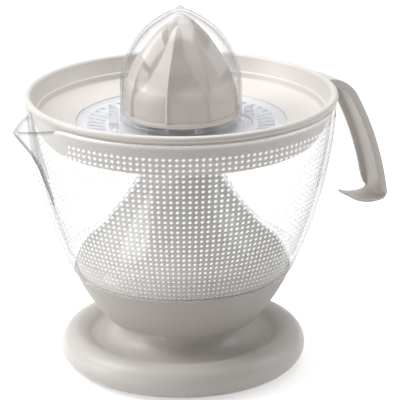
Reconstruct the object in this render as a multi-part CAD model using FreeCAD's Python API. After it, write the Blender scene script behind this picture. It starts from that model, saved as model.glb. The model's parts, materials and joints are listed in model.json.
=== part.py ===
import FreeCAD, Part
import os
from math import acos, atan2, cos, degrees, hypot, pi, radians, sin, sqrt, tan

# Electric citrus press: a motor base, a clear one-litre jug that lifts off it, a tray
# with a sieve and a pulp selector, and two reamer cones turned by the base's shaft.
# Millimetres. Z is the drive axis, z = 0 is the table, +X is the handle, -X the spout.

V = FreeCAD.Vector
UP = V(0, 0, 1)
ORIGIN = V(0, 0, 0)

# ---- driving dimensions ---------------------------------------------------------
WALL = 2.2                      # usual thickness of the mouldings
GAP = 0.3                       # clearance between pieces that move apart
RUNNING = 0.05                  # radial clearance of a shaft or pin in its bore
SLIDING = 0.06                  # radial clearance of the floating hub collar

# foot ring and the deck inside it, as (distance from the axis, height) where paired
RING_UNDER = (61.6, 1.0)
RING_WIDEST = (70.3, 11.3)
RING_CREST = (61.0, 20.5)
RING_INNER = (52.6, 16.0)       # where the crest drops to the recessed deck
DECK_Z = 15.4
DECK_HOLLOW = [(47.0, 15.4), (39.2, 18.2), (36.0, 25.5)]    # joins the deck to the pedestal
PEDESTAL_R = 36.0
PEDESTAL_WALL = 2.5
BASE_PLATE_R = 58.0
BASE_PLATE_Z = (2.0, 4.6)
GRIP_R = (50.0, 56.0)           # rubber ring that the base stands on
GRIP_TOP_Z = 2.8
BASE_SCREW_R = 46.0             # circle of the screws that hold the base plate
NUB_CIRCLE_R = 40.6
NUBS = 6                        # rounded nubs that keep a wound cord under the bowl
NUB_FIRST = 45.5                # direction of the first nub
GLAND_ANGLE = 60.0
GLAND_Z = 10.2
GLAND_R = 5.5
GLAND_BORE_R = 3.4
GLAND_X = (62.6, 72.2)          # inner and outer end, measured from the Z axis
GLAND_COLLAR_T = 1.8

# motor bowl and the bell-shaped cover that rises inside the jug
BOWL_LOW = (44.2, 29.3)
BOWL_MID = (57.0, 47.8)
BOWL_TOP = (61.9, 57.4)
BOWL_HOLE_R = 24.5              # opening in the bowl's floor
LEDGE_R = 57.8                  # step in the bowl's rim that takes the bell's tongue
LEDGE_Z = 55.2
BELL_RIM_R = 59.4
BELL_RIM_TOP_Z = 61.0
BELL_SHOULDER = (52.0, 71.5)
BELL_MID = (34.3, 90.8)
BELL_TOP = (19.0, 116.0)
BOSS_R = 9.5                    # neck of the bell round the shaft
BOSS_TOP_Z = 129.0
BUSH_R = 6.8
BUSH_Z = (111.0, 123.0)
PEDESTAL_SCREW_R = 29.0
PEDESTAL_SCREW_ANGLES = (60, 120, 240, 300)

# gear plates, and the posts and pillars that carry them
LOW_PLATE_Z = 62.0
LOW_PLATE_R = 44.0
HIGH_PLATE_Z = 85.0
HIGH_PLATE_R = 31.6
PLATE_T = 1.5
PIN_R = 1.5
POST_CIRCLE_R = 40.0
POST_ANGLES = (45, 110, 225, 315)
PILLAR_R = 28.0
PILLAR_ANGLES = (25, 205, 290)
SCREW_HOLE_R = 1.6
PILOT_R = 1.4                   # hole that a screw or stud grips
SCREW_R = 1.38
SCREW_HEAD_H = 1.6

# motor
ROTOR_AXIS = V(-18.0, 0, 0)
ROTOR_R = 9.0
ROTOR_HUB_R = 2.6
ROTOR_SHAFT_R = 1.2
ROTOR_SHAFT_Z = (32.6, 69.4)
CORE_Z = (34.5, 50.5)
CORE_X = (-32.0, 34.0)
LEG_Y = (9.0, 17.0)             # one leg of the U, the other is its mirror image
COIL_X = (0.0, 24.0)
BOBBIN_T = 0.8
COIL_Y = (2.8, 20.2)
COIL_Z = (32.8, 52.2)

# gear train
TEETH_ROTOR, TEETH_FIRST = 10, 50
TEETH_FIRST_PINION, TEETH_SECOND = 12, 48
TEETH_SECOND_PINION, TEETH_OUTPUT = 14, 33
MODULE_ONE, MODULE_TWO, MODULE_THREE = 0.6, 0.7, 1.0
PRESSURE_ANGLE = radians(20)
BACKLASH = 0.16                 # share of a tooth's thickness that is left out
ADDENDUM = 0.75                 # stub teeth
DEDENDUM = 1.05
ROTOR_PINION_Z = (64.2, 69.0)
FIRST_WHEEL_Z = (64.6, 68.0)
FIRST_TOP_Z = 74.4
SECOND_WHEEL_Z = (70.0, 73.5)
SECOND_TOP_Z = 84.2
OUTPUT_Z = (77.5, 83.5)

# drive shaft, its spring and the switch under it
SHAFT_R = 4.0
SHAFT_LOW_Z = 60.0
SHAFT_NOSE = 2.0                # length of the nose that pushes the switch lever
HEX_LOW_Z = 131.0               # where the shaft turns from round to hexagonal
SHAFT_TOP_Z = 158.0
HEX_FLATS = 6.8
CLIP_Z = (83.7, 84.5)
CLIP_DEPTH = 0.6
WASHER_Z = (75.8, 77.3)
SPRING_R = 4.85
SPRING_WIRE_R = 0.35
SPRING_TURNS = 5
LOW_BUSH_R = 5.4
LOW_SLEEVE_R = 6.6
LOW_SLEEVE_DROP = 2.5           # how far the lower bush hangs below its plate
LEVER_PIVOT = (14.0, 56.6)      # x and z of the switch lever's axis, which lies along Y
LEVER_PIN_R = 0.8
LEVER_TOP_Z = 57.4
LEVER_HALF_Y = 1.8

# jug and handle
JUG_LOW = (62.3, 57.7)
JUG_MID = (77.3, 97.0)
JUG_RIM = (87.3, 155.5)
JUG_FLOOR_Z = 69.5
JUG_VALLEY = (54.2, 74.3)       # where the jug's inner cone meets its floor
JUG_TUBE_R = 13.0               # outside of the jug's central tube
JUG_TUBE_WALL = 2.0
JUG_TUBE_TOP_Z = 139.0
BELL_TO_JUG = (1.0, 3.0)        # distance from the bell to the jug cone's two faces
SPOUT_TIP = (105.0, 154.6)
SPOUT_KEEL = (92.6, 136.0)      # a point half-way down the spout's keel
SPOUT_HALF_ANGLE = 13.0
LUG_X = (84.0, 99.0)
LUG_HALF_Y = 5.0
LUG_Z = (139.0, 152.4)
HANDLE_TOP = [(87.6, 156.2), (104.0, 152.6), (113.5, 142.0)]
HANDLE_BACK = [(113.5, 142.0), (126.4, 113.4), (134.3, 82.0)]
HANDLE_HEEL = [(134.3, 82.0), (133.2, 78.0), (129.5, 76.3)]
HANDLE_TOE = [(130.5, 76.4), ((122.0, 76.0), (113.0, 78.6)), (113.3, 80.2),
              ((122.0, 77.9), (130.5, 78.6))]
HANDLE_HALF_Y = 10.8
HANDLE_WALL = 2.0
FLANGE_DEPTH = 5.0
CHEEK_X, CHEEK_Z, CHEEK_T = (88.4, 100.0), (141.0, 154.0), 1.8
CHEEK_GAP = 0.1
RIVET_X, RIVET_Z, RIVET_R = 94.5, 146.0, 1.8

# tray, sieve and pulp selector
BEAD_R = 86.0                   # rolled edge of the tray
BEAD_Z = 158.6
BEAD_TUBE_R = 2.0
SIEVE_R = 59.0
SIEVE_FLAT_Z = 141.2            # top of the sieve round the cones
SIEVE_UNDER_Z = 139.4
SIEVE_RIM_Z = 143.8
HUB_R = (10.0, 12.2)            # sleeve in the middle of the sieve
HUB_TOP_Z = 147.8
COLLAR_R = (14.2, 16.0)         # skirt under the sieve that the selector turns on
COLLAR_LOW_Z = 135.0
SLOTS = 48
SLOT_R = (43.0, 53.0)
SELECTOR_Z = (136.8, 138.3)
SELECTOR_R = 53.6
SELECTOR_TRAVEL = 30.0
CLIP_RING_R, CLIP_RING_Z = 18.6, (135.2, 136.5)
PEG_R, PEG_CENTRE_R, PEG_TOP_Z = 2.6, 37.9, 151.0
PEG_ANGLES = (-29.5, 150.5)

# spindle and cones
HUB_COLLAR_FLANGE = (11.6, 151.4, 152.9)
HUB_COLLAR_LOW_Z = 140.4
SPINDLE_R = 7.4
SPINDLE_LOW_Z = 133.6
SPINDLE_FLANGE = (11.0, 153.0, 154.6)
POST_R, POST_TOP_Z = 6.6, 178.0
SPLINES = 4
SPLINE_R, SPLINE_HALF, SPLINE_TOP_Z = 8.2, 1.0, 174.0
RIB_HALF = 0.8                  # half the thickness of a reamer rib
LONG_RIBS = 4                   # as many short ribs stand between them
FIRST_RIB = 1.5                 # direction of the first long rib
CONE_BASE_R, CONE_BASE_Z = 32.9, 148.0
CONE_BAND_Z = 159.0             # top of the plain band under the small cone's grooves
CONE_TOP_Z = 205.8
CONE_WALL = 2.0
SHELL_BASE_R, SHELL_BASE_Z = 34.8, 145.4
SHELL_TOP_Z = 209.6
SHELL_RIBS = 8

ABOVE, BELOW = 200.0, -10.0     # heights that a through cut starts and ends beyond


# ---- small tools ----------------------------------------------------------------
def circle_through(a, m, b):
    """Centre and radius of the circle through three (r, z) points."""
    d = 2 * (a[0] * (m[1] - b[1]) + m[0] * (b[1] - a[1]) + b[0] * (a[1] - m[1]))
    squares = [p[0] ** 2 + p[1] ** 2 for p in (a, m, b)]
    x = squares[0] * (m[1] - b[1]) + squares[1] * (b[1] - a[1]) + squares[2] * (a[1] - m[1])
    z = squares[0] * (b[0] - m[0]) + squares[1] * (a[0] - b[0]) + squares[2] * (m[0] - a[0])
    centre = (x / d, z / d)
    return centre, hypot(a[0] - centre[0], a[1] - centre[1])


def shifted_arc(a, m, b, inward):
    """The same arc moved towards its centre by inward, away from it when negative."""
    centre, radius = circle_through(a, m, b)
    share = (radius - inward) / radius
    return [tuple(c + (p[i] - c) * share for i, c in enumerate(centre)) for p in (a, m, b)]


def radius_at(arc, z):
    """Distance from the Z axis of the outer half of an (r, z) arc at height z."""
    centre, radius = circle_through(*arc)
    return centre[0] + sqrt(radius ** 2 - (z - centre[1]) ** 2)


def profile_face(path, frame=None):
    """A face from (r, z) points. A pair of points is an arc's middle and its end."""
    place = frame or (lambda p: V(p[0], 0, p[1]))
    edges = []
    last = path[0]
    for item in list(path[1:]) + [path[0]]:
        if isinstance(item[0], tuple):
            edges.append(Part.Arc(place(last), place(item[0]), place(item[1])).toShape())
            last = item[1]
        elif item != last:
            edges.append(Part.LineSegment(place(last), place(item)).toShape())
            last = item
    return Part.Face(Part.Wire(edges))


def turned(path):
    return profile_face(path).revolve(ORIGIN, UP, 360)


def cylinder(radius, z_low, z_high, at=ORIGIN):
    return Part.makeCylinder(radius, z_high - z_low, V(at.x, at.y, z_low))


def tube(r_in, r_out, z_low, z_high, at=ORIGIN):
    return cylinder(r_out, z_low, z_high, at).cut(cylinder(r_in, z_low - 1, z_high + 1, at))


def along_x(radius, x_low, x_high, z, y=0.0):
    return Part.makeCylinder(radius, x_high - x_low, V(x_low, y, z), V(1, 0, 0))


def along_y(radius, y_low, y_high, x, z):
    return Part.makeCylinder(radius, y_high - y_low, V(x, y_low, z), V(0, 1, 0))


def box(x, y, z):
    """A box from three (low, high) pairs."""
    return Part.makeBox(x[1] - x[0], y[1] - y[0], z[1] - z[0], V(x[0], y[0], z[0]))


def polar(radius, angle, z=0.0):
    return V(radius * cos(radians(angle)), radius * sin(radians(angle)), z)


def spun(shape, angle):
    copy = shape.copy()
    copy.rotate(ORIGIN, UP, angle)
    return copy


def ring_of(shape, count, first=0.0):
    """Copies of a shape spaced evenly round the Z axis."""
    return [spun(shape, first + 360.0 * i / count) for i in range(count)]


def joined(shapes):
    first, rest = shapes[0], list(shapes[1:])
    return first.fuse(rest).removeSplitter() if rest else first


def group(shapes):
    return Part.makeCompound(list(shapes))


def moved(shape, at):
    copy = shape.copy()
    copy.translate(at)
    return copy


def screw(length, head_r=2.8, head_h=SCREW_HEAD_H):
    """A pan-head screw standing on its head, whose top is at z = 0, with its tip up."""
    head = Part.makeCylinder(head_r, head_h)
    shank = Part.makeCylinder(SCREW_R, length, V(0, 0, head_h))
    recess = box((-head_r / 2, head_r / 2), (-0.3, 0.3), (0, 0.8))
    return head.fuse(shank).cut([recess, spun(recess, 90)])


def hexagon(flats, z_low, z_high):
    corner = flats / 2 / cos(radians(30))
    points = [polar(corner, 60 * i, z_low) for i in range(7)]
    return Part.Face(Part.makePolygon(points)).extrude(V(0, 0, z_high - z_low))


# ---- gears ----------------------------------------------------------------------
def involute(angle):
    return tan(angle) - angle


def gear(module, teeth, z_low, z_high, bore_r, at, tooth_at=0.0):
    """A spur gear with a tooth centred on the direction tooth_at, in degrees."""
    pitch_r = module * teeth / 2
    base_r = pitch_r * cos(PRESSURE_ANGLE)
    tip_r = pitch_r + ADDENDUM * module
    root_r = pitch_r - DEDENDUM * module
    half = pi / (2 * teeth) * (1 - BACKLASH) + involute(PRESSURE_ANGLE)

    def flank(radius):
        return half - involute(acos(min(1.0, base_r / radius)))

    flank_radii = (root_r, max(base_r, (root_r + tip_r) / 2), tip_r)
    edges = []
    pitch = 2 * pi / teeth
    for i in range(teeth):
        middle = radians(tooth_at) + i * pitch

        def point(radius, angle):
            return V(at.x + radius * cos(angle), at.y + radius * sin(angle), z_low)

        right = [point(r, middle - flank(r)) for r in flank_radii]
        left = [point(r, middle + flank(r)) for r in reversed(flank_radii)]
        next_root = point(root_r, middle + pitch - flank(root_r))
        edges.append(Part.Arc(*right).toShape())
        edges.append(Part.Arc(right[-1], point(tip_r, middle), left[0]).toShape())
        edges.append(Part.Arc(*left).toShape())
        edges.append(Part.Arc(left[-1], point(root_r, middle + pitch / 2), next_root).toShape())
    blank = Part.Face(Part.Wire(edges)).extrude(V(0, 0, z_high - z_low))
    return blank.cut(cylinder(bore_r, z_low - 1, z_high + 1, at))


def direction(a, b):
    return degrees(atan2(b.y - a.y, b.x - a.x))


def meeting_point(a, r_a, b, r_b):
    """Where circles round a and b cross, on the left of the way from a to b."""
    d = hypot(b.x - a.x, b.y - a.y)
    along = (r_a ** 2 - r_b ** 2 + d ** 2) / (2 * d)
    aside = sqrt(r_a ** 2 - along ** 2)
    ux, uy = (b.x - a.x) / d, (b.y - a.y) / d
    return V(a.x + along * ux - aside * uy, a.y + along * uy + aside * ux, 0)


SPREAD_ONE = MODULE_ONE * (TEETH_ROTOR + TEETH_FIRST) / 2
SPREAD_TWO = MODULE_TWO * (TEETH_FIRST_PINION + TEETH_SECOND) / 2
SPREAD_THREE = MODULE_THREE * (TEETH_SECOND_PINION + TEETH_OUTPUT) / 2
FIRST_AXIS = V(ROTOR_AXIS.x, SPREAD_ONE, 0)
SECOND_AXIS = meeting_point(FIRST_AXIS, SPREAD_TWO, ORIGIN, SPREAD_THREE)



# ---- motor base: casing ---------------------------------------------------------
def foot_ring():
    """The doughnut-shaped foot, the deck inside it and the pedestal under the bowl."""
    bulge = [RING_UNDER, RING_WIDEST, RING_CREST]
    lip = [RING_CREST, (56.4, 19.4), RING_INNER]
    bulge_in = shifted_arc(*bulge, WALL)
    lip_in = shifted_arc(*lip, WALL)
    under_z = DECK_Z - WALL
    bowl_z = BOWL_LOW[1]
    bore_r = PEDESTAL_R - PEDESTAL_WALL
    body = turned([
        bulge[0], (bulge[1], bulge[2]), (lip[1], lip[2]), (RING_INNER[0], DECK_Z),
        DECK_HOLLOW[0], (DECK_HOLLOW[1], DECK_HOLLOW[2]), (PEDESTAL_R, bowl_z), (bore_r, bowl_z),
        (bore_r, under_z), (lip_in[2][0] - GAP, under_z), (lip_in[1], lip_in[0]), bulge_in[2],
        (bulge_in[1], bulge_in[0]),
    ])
    post = cylinder(4.0, BASE_PLATE_Z[1], under_z + 0.5, polar(BASE_SCREW_R, 0))
    pilot = cylinder(PILOT_R, 3.0, 12.0, polar(BASE_SCREW_R, 0))
    lug = box((24.0, 34.0), (-4.0, 4.0), (26.0, bowl_z))
    through = cylinder(SCREW_HOLE_R, 25.0, 30.0, polar(PEDESTAL_SCREW_R, 0))
    entry = along_x(GLAND_R, 55.0, 75.0, GLAND_Z)
    body = joined([body] + ring_of(post, 4, 45) + [spun(lug, a) for a in PEDESTAL_SCREW_ANGLES])
    return body.cut(ring_of(pilot, 4, 45) + [spun(entry, GLAND_ANGLE)]
                    + [spun(through, a) for a in PEDESTAL_SCREW_ANGLES])


def cable_gland():
    sleeve = along_x(GLAND_R, *GLAND_X, GLAND_Z)
    collar = along_x(GLAND_R + 1.7, GLAND_X[1] - GLAND_COLLAR_T, GLAND_X[1], GLAND_Z)
    bore = along_x(GLAND_BORE_R, GLAND_X[0] - 5, GLAND_X[1] + 5, GLAND_Z)
    return spun(joined([sleeve, collar]).cut(bore), GLAND_ANGLE)


def base_plate():
    """The floor of the base, with a groove for the grip ring and two rows of air slots."""
    plate = cylinder(BASE_PLATE_R, *BASE_PLATE_Z)
    groove = tube(*GRIP_R, BELOW, GRIP_TOP_Z)
    hole = cylinder(SCREW_HOLE_R, BELOW, ABOVE, polar(BASE_SCREW_R, 0))
    recess = cylinder(3.0, BELOW, BASE_PLATE_Z[1] - 1.0, polar(BASE_SCREW_R, 0))
    vent = box((12.0, 30.0), (-1.0, 1.0), (BELOW, ABOVE))
    return plate.cut([groove] + ring_of(hole, 4, 45) + ring_of(recess, 4, 45) + ring_of(vent, 16))


def grip_ring():
    return tube(*GRIP_R, 0.0, GRIP_TOP_Z)


def base_screws():
    return group(ring_of(moved(screw(8.0), V(BASE_SCREW_R, 0, BASE_PLATE_Z[0])), 4, 45))


def bowl_nubs():
    top = BOWL_LOW[1]
    nub = turned([(0.0, top - 2.6), ((2.2, top - 1.9), (3.0, top - 0.4)), (3.0, top), (0.0, top)])
    return group(ring_of(moved(nub, V(NUB_CIRCLE_R, 0, 0)), NUBS, NUB_FIRST))


def bowl_housing():
    inner = shifted_arc(BOWL_LOW, BOWL_MID, BOWL_TOP, WALL)
    floor_z = BOWL_LOW[1] + WALL
    step_z = LEDGE_Z - 1.0
    body = turned([
        (BOWL_HOLE_R, BOWL_LOW[1]), BOWL_LOW, (BOWL_MID, BOWL_TOP), (LEDGE_R, BOWL_TOP[1]),
        (LEDGE_R, LEDGE_Z), (radius_at(inner, step_z), step_z), (inner[1], inner[0]),
        (inner[0][0] - 0.4, floor_z), (BOWL_HOLE_R, floor_z),
    ])
    posts = [cylinder(3.5, floor_z - 1, LOW_PLATE_Z, polar(POST_CIRCLE_R, a)) for a in POST_ANGLES]
    low_posts = [cylinder(3.2, floor_z - 1, 33.6, polar(PEDESTAL_SCREW_R, a))
                 for a in PEDESTAL_SCREW_ANGLES]
    pilots = [cylinder(PILOT_R, LOW_PLATE_Z - 10, LOW_PLATE_Z + 1, polar(POST_CIRCLE_R, a))
              for a in POST_ANGLES]
    low_pilots = [cylinder(PILOT_R, BOWL_LOW[1] - 1, 35.0, polar(PEDESTAL_SCREW_R, a))
                  for a in PEDESTAL_SCREW_ANGLES]
    return joined([body] + posts + low_posts).cut(pilots + low_pilots)


def pedestal_screws():
    seat_z = 26.0 - SCREW_HEAD_H
    return group([moved(screw(7.0), polar(PEDESTAL_SCREW_R, a, seat_z))
                  for a in PEDESTAL_SCREW_ANGLES])


def bell_line(outward):
    """The bell's outside moved outward: rim, then shoulder, flare and crown arcs."""
    rim_r = BELL_RIM_R + outward
    rim = (BELL_RIM_R, BELL_RIM_TOP_Z)
    shoulder = shifted_arc(rim, (57.3, 66.8), BELL_SHOULDER, -outward)
    flare = shifted_arc(BELL_SHOULDER, BELL_MID, BELL_TOP, outward)
    crown = shifted_arc(BELL_TOP, (15.6, 120.4), (BOSS_R + 1.5, 123.0), -outward)
    joint = tuple((shoulder[2][i] + flare[0][i]) / 2 for i in range(2))
    brow = tuple((flare[2][i] + crown[0][i]) / 2 for i in range(2))
    return (rim_r, rim[1]), (shoulder[1], joint), (flare[1], brow), (crown[1], crown[2])


def bell_housing():
    rim, shoulder, flare, crown = bell_line(0.0)
    rim_in, shoulder_in, flare_in, _ = bell_line(-WALL)
    tongue_r = (LEDGE_R - WALL, LEDGE_R - 0.2)
    neck_r = BUSH_R + WALL
    neck_z = 117.5
    return turned([
        (tongue_r[0], LEDGE_Z), (tongue_r[1], LEDGE_Z), (tongue_r[1], BOWL_TOP[1]),
        (rim[0], BOWL_TOP[1]), rim, shoulder, flare, crown, (BOSS_R, 124.5),
        (BOSS_R, BOSS_TOP_Z), (BUSH_R, BOSS_TOP_Z), (BUSH_R, BUSH_Z[0] - 1.0),
        (neck_r, BUSH_Z[0] - 1.0), (neck_r, neck_z), (flare_in[1][0] - 1.0, neck_z), flare_in[1],
        (flare_in[0], shoulder_in[1]), (shoulder_in[0], rim_in), (rim_in[0], 59.0),
        (tongue_r[0], 58.0),
    ])


def shaft_bush():
    return tube(SHAFT_R + RUNNING, BUSH_R, *BUSH_Z)


def shaft_seal():
    """A lip seal above the bush that keeps juice out of the motor."""
    lip_r = SHAFT_R + RUNNING
    return turned([(lip_r, 124.2), (BUSH_R, 124.2), (BUSH_R, 128.6), (5.2, 128.6), (4.6, 127.4),
                   (lip_r, 127.0)])


# ---- motor base: works ----------------------------------------------------------
def low_plate():
    plate = cylinder(LOW_PLATE_R, LOW_PLATE_Z, LOW_PLATE_Z + PLATE_T)
    sleeve = cylinder(LOW_SLEEVE_R, LOW_PLATE_Z - LOW_SLEEVE_DROP, LOW_PLATE_Z + 0.5)
    holes = [cylinder(LOW_BUSH_R, BELOW, ABOVE), cylinder(3.0, BELOW, ABOVE, ROTOR_AXIS)]
    holes += [cylinder(SCREW_HOLE_R, BELOW, ABOVE, polar(POST_CIRCLE_R, a)) for a in POST_ANGLES]
    holes += [cylinder(PIN_R, BELOW, ABOVE, axis) for axis in (FIRST_AXIS, SECOND_AXIS)]
    holes += [cylinder(PILOT_R, BELOW, ABOVE, polar(PILLAR_R, a)) for a in PILLAR_ANGLES]
    return plate.fuse(sleeve).cut(holes)


def plate_screws():
    head_h = 1.2
    upside_down = screw(7.0, head_r=2.6, head_h=head_h)
    upside_down.rotate(ORIGIN, V(1, 0, 0), 180)
    top = LOW_PLATE_Z + PLATE_T + head_h
    return group([moved(upside_down, polar(POST_CIRCLE_R, a, top)) for a in POST_ANGLES])


def high_plate():
    holes = [cylinder(SHAFT_R + 1.0, BELOW, ABOVE)]
    holes += [cylinder(PIN_R, BELOW, ABOVE, axis) for axis in (FIRST_AXIS, SECOND_AXIS)]
    holes += [cylinder(PILOT_R, BELOW, ABOVE, polar(PILLAR_R, a)) for a in PILLAR_ANGLES]
    return cylinder(HIGH_PLATE_R, HIGH_PLATE_Z, HIGH_PLATE_Z + PLATE_T).cut(holes)


def plate_pillars():
    pillar = cylinder(2.6, LOW_PLATE_Z + PLATE_T, HIGH_PLATE_Z)
    stud = cylinder(SCREW_R, LOW_PLATE_Z, HIGH_PLATE_Z + PLATE_T)
    return group([moved(pillar.fuse(stud), polar(PILLAR_R, a)) for a in PILLAR_ANGLES])


def pillar_nuts():
    base = HIGH_PLATE_Z + PLATE_T
    nut = hexagon(5.0, base, base + 2.0).cut(cylinder(PILOT_R, BELOW, ABOVE))
    return group([moved(nut, polar(PILLAR_R, a)) for a in PILLAR_ANGLES])


def gear_pins():
    top = HIGH_PLATE_Z + PLATE_T
    return group([cylinder(PIN_R, LOW_PLATE_Z, top, axis) for axis in (FIRST_AXIS, SECOND_AXIS)])


def shaft_low_bush():
    return tube(SHAFT_R + RUNNING, LOW_BUSH_R, LOW_PLATE_Z - LOW_SLEEVE_DROP, LOW_PLATE_Z + PLATE_T)


def stator_core():
    """U-shaped stack of laminations whose two legs end in the rotor's poles."""
    height = (BELOW, ABOVE)
    block = box(CORE_X, (-LEG_Y[1], LEG_Y[1]), CORE_Z)
    window = box((-4.0, 26.0), (-LEG_Y[0], LEG_Y[0]), height)
    rotor_hole = cylinder(ROTOR_R + 0.8, *height, ROTOR_AXIS)
    slit = box((-40.0, 0.0), (-1.2, 1.2), height)
    legs_gap = box((-10.0, 0.0), (-LEG_Y[0] + 4, LEG_Y[0] - 4), height)
    return block.cut([window, rotor_hole, slit, legs_gap])


def both_sides(shape):
    return group([shape, shape.mirror(ORIGIN, V(0, 1, 0))])


def leg_sleeve(margin):
    """The box round one leg of the core, margin wider all round."""
    return box((COIL_X[0] - 10, COIL_X[1] + 10), (LEG_Y[0] - margin, LEG_Y[1] + margin),
               (CORE_Z[0] - margin, CORE_Z[1] + margin))


def coil_bobbins():
    clear = 0.2
    length = box(COIL_X, (0.0, 50.0), (0.0, 100.0))
    core = leg_sleeve(clear + BOBBIN_T).common(length)
    ends = [box((x, x + 1.0), (2.2, 20.6), (32.4, 52.6)) for x in (COIL_X[0], COIL_X[1] - 1.0)]
    return both_sides(joined([core] + ends).cut(leg_sleeve(clear)))


def coil_windings():
    full = box((COIL_X[0] + 1, COIL_X[1] - 1), COIL_Y, COIL_Z)
    return both_sides(full.makeFillet(1.5, full.Edges).cut(leg_sleeve(0.2 + BOBBIN_T)))


def rotor_magnet():
    return tube(ROTOR_HUB_R, ROTOR_R, CORE_Z[0] + 1, CORE_Z[1] - 1, ROTOR_AXIS)


def rotor_hub():
    return tube(ROTOR_SHAFT_R, ROTOR_HUB_R, CORE_Z[0] - 0.5, CORE_Z[1] + 1.5, ROTOR_AXIS)


def rotor_shaft():
    return cylinder(ROTOR_SHAFT_R, *ROTOR_SHAFT_Z, ROTOR_AXIS)


def rotor_pinion():
    toward = direction(ROTOR_AXIS, FIRST_AXIS)
    return gear(MODULE_ONE, TEETH_ROTOR, *ROTOR_PINION_Z, ROTOR_SHAFT_R, ROTOR_AXIS, toward)


def rotor_bushes():
    """Plain bearings: one in a cup on the bowl's floor, one in the lower plate."""
    bore_r = ROTOR_SHAFT_R + RUNNING
    cup = tube(bore_r, 3.6, BOWL_LOW[1] + WALL, 33.6, ROTOR_AXIS)
    eye = tube(bore_r, 3.0, LOW_PLATE_Z - 1.0, LOW_PLATE_Z + PLATE_T, ROTOR_AXIS)
    return group([cup, eye])


def motor_cradle():
    """Moulded feet that hold the laminations above the bowl's floor."""
    floor_z = BOWL_LOW[1] + WALL
    foot = box((26.4, 33.6), (-16.6, 16.6), (floor_z, CORE_Z[0]))
    rear = box((-31.6, -28.2), (-10.0, 10.0), (floor_z, CORE_Z[0]))
    bridge = box((-31.6, -22.0), (-3.6, 3.6), (floor_z, floor_z + 1.0))
    socket = cylinder(3.6, BELOW, ABOVE, ROTOR_AXIS)
    return group([foot, joined([rear, bridge.cut(socket)])])


def compound_gear(axis, wheel, wheel_toward, pinion, pinion_toward):
    """A wheel and a pinion in one piece. Each is (module, teeth, low z, high z)."""
    bore_r = PIN_R + RUNNING
    half_pitch = 180.0 / wheel[1]
    big = gear(*wheel, bore_r, axis, direction(axis, wheel_toward) + half_pitch)
    small = gear(*pinion, bore_r, axis, direction(axis, pinion_toward))
    return big.fuse(small)


def first_gear():
    wheel = (MODULE_ONE, TEETH_FIRST, *FIRST_WHEEL_Z)
    pinion = (MODULE_TWO, TEETH_FIRST_PINION, FIRST_WHEEL_Z[1], FIRST_TOP_Z)
    return compound_gear(FIRST_AXIS, wheel, ROTOR_AXIS, pinion, SECOND_AXIS)


def second_gear():
    wheel = (MODULE_TWO, TEETH_SECOND, *SECOND_WHEEL_Z)
    pinion = (MODULE_THREE, TEETH_SECOND_PINION, SECOND_WHEEL_Z[1], SECOND_TOP_Z)
    return compound_gear(SECOND_AXIS, wheel, FIRST_AXIS, pinion, ORIGIN)


def output_gear():
    tooth_at = direction(ORIGIN, SECOND_AXIS) + 180.0 / TEETH_OUTPUT
    return gear(MODULE_THREE, TEETH_OUTPUT, *OUTPUT_Z, SHAFT_R, ORIGIN, tooth_at)


def drive_shaft():
    nose = cylinder(1.2, SHAFT_LOW_Z - SHAFT_NOSE, SHAFT_LOW_Z + 1.0)
    body = cylinder(SHAFT_R, SHAFT_LOW_Z, HEX_LOW_Z)
    tip = hexagon(HEX_FLATS, HEX_LOW_Z, SHAFT_TOP_Z)
    groove = tube(SHAFT_R - CLIP_DEPTH, SHAFT_R + 1, *CLIP_Z)
    return joined([nose, body, tip]).cut(groove)


def shaft_clip():
    """The open snap ring that keeps the output gear down on the thrust washer."""
    clip = tube(SHAFT_R - CLIP_DEPTH, SHAFT_R + 0.9, *CLIP_Z)
    return clip.cut(box((0, 10), (-2.0, 2.0), (BELOW, ABOVE)))


def thrust_washer():
    return tube(SHAFT_R + RUNNING, 5.5, *WASHER_Z)


def return_spring():
    """The compression coil between the lower plate and the thrust washer."""
    low = LOW_PLATE_Z + PLATE_T + SPRING_WIRE_R
    height = WASHER_Z[0] - SPRING_WIRE_R - low
    coil = Part.makeHelix(height / SPRING_TURNS, height, SPRING_R)
    coil.translate(V(0, 0, low))
    section = Part.Wire(Part.makeCircle(SPRING_WIRE_R, V(SPRING_R, 0, low), V(0, 1, 0)))
    return Part.Wire(coil.Edges).makePipeShell([section], True, True)


def switch_body():
    body = box((8.6, 30.0), (-5.0, 5.0), (54.2, 61.4))
    slot = box((0.0, 18.0), (-2.2, 2.2), (50.0, 60.4))
    feet = box((22.0, 28.0), (-4.0, 4.0), (61.4, LOW_PLATE_Z))
    pin = along_y(LEVER_PIN_R, -5.0, 5.0, *LEVER_PIVOT)
    terminals = [box((30.0, 34.0), (y - 1.2, y + 1.2), (56.0, 56.8)) for y in (-2.6, 2.6)]
    return joined([body.cut(slot), feet, pin] + terminals)


def switch_lever():
    """The lever that the shaft's nose pushes down to close the contacts."""
    arm = box((-3.2, 12.6), (-LEVER_HALF_Y, LEVER_HALF_Y), (LEVER_TOP_Z - 0.7, LEVER_TOP_Z))
    eye = along_y(1.7, -LEVER_HALF_Y, LEVER_HALF_Y, *LEVER_PIVOT)
    bore = along_y(LEVER_PIN_R + RUNNING, -4.0, 4.0, *LEVER_PIVOT)
    return joined([arm, eye]).cut(bore)


def terminal_block():
    """Where the mains cord meets the motor's leads, in three ways."""
    block = box((-12.0, 12.0), (-17.0, -6.0), (BASE_PLATE_Z[1], 15.0))
    pole_x = (-7.0, 0.0, 7.0)
    wells = [cylinder(1.9, 10.0, 16.0, V(x, -11.5, 0)) for x in pole_x]
    ways = [along_y(1.6, -18.0, -5.0, x, 8.0) for x in pole_x]
    return block.cut(wells + ways)


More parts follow.
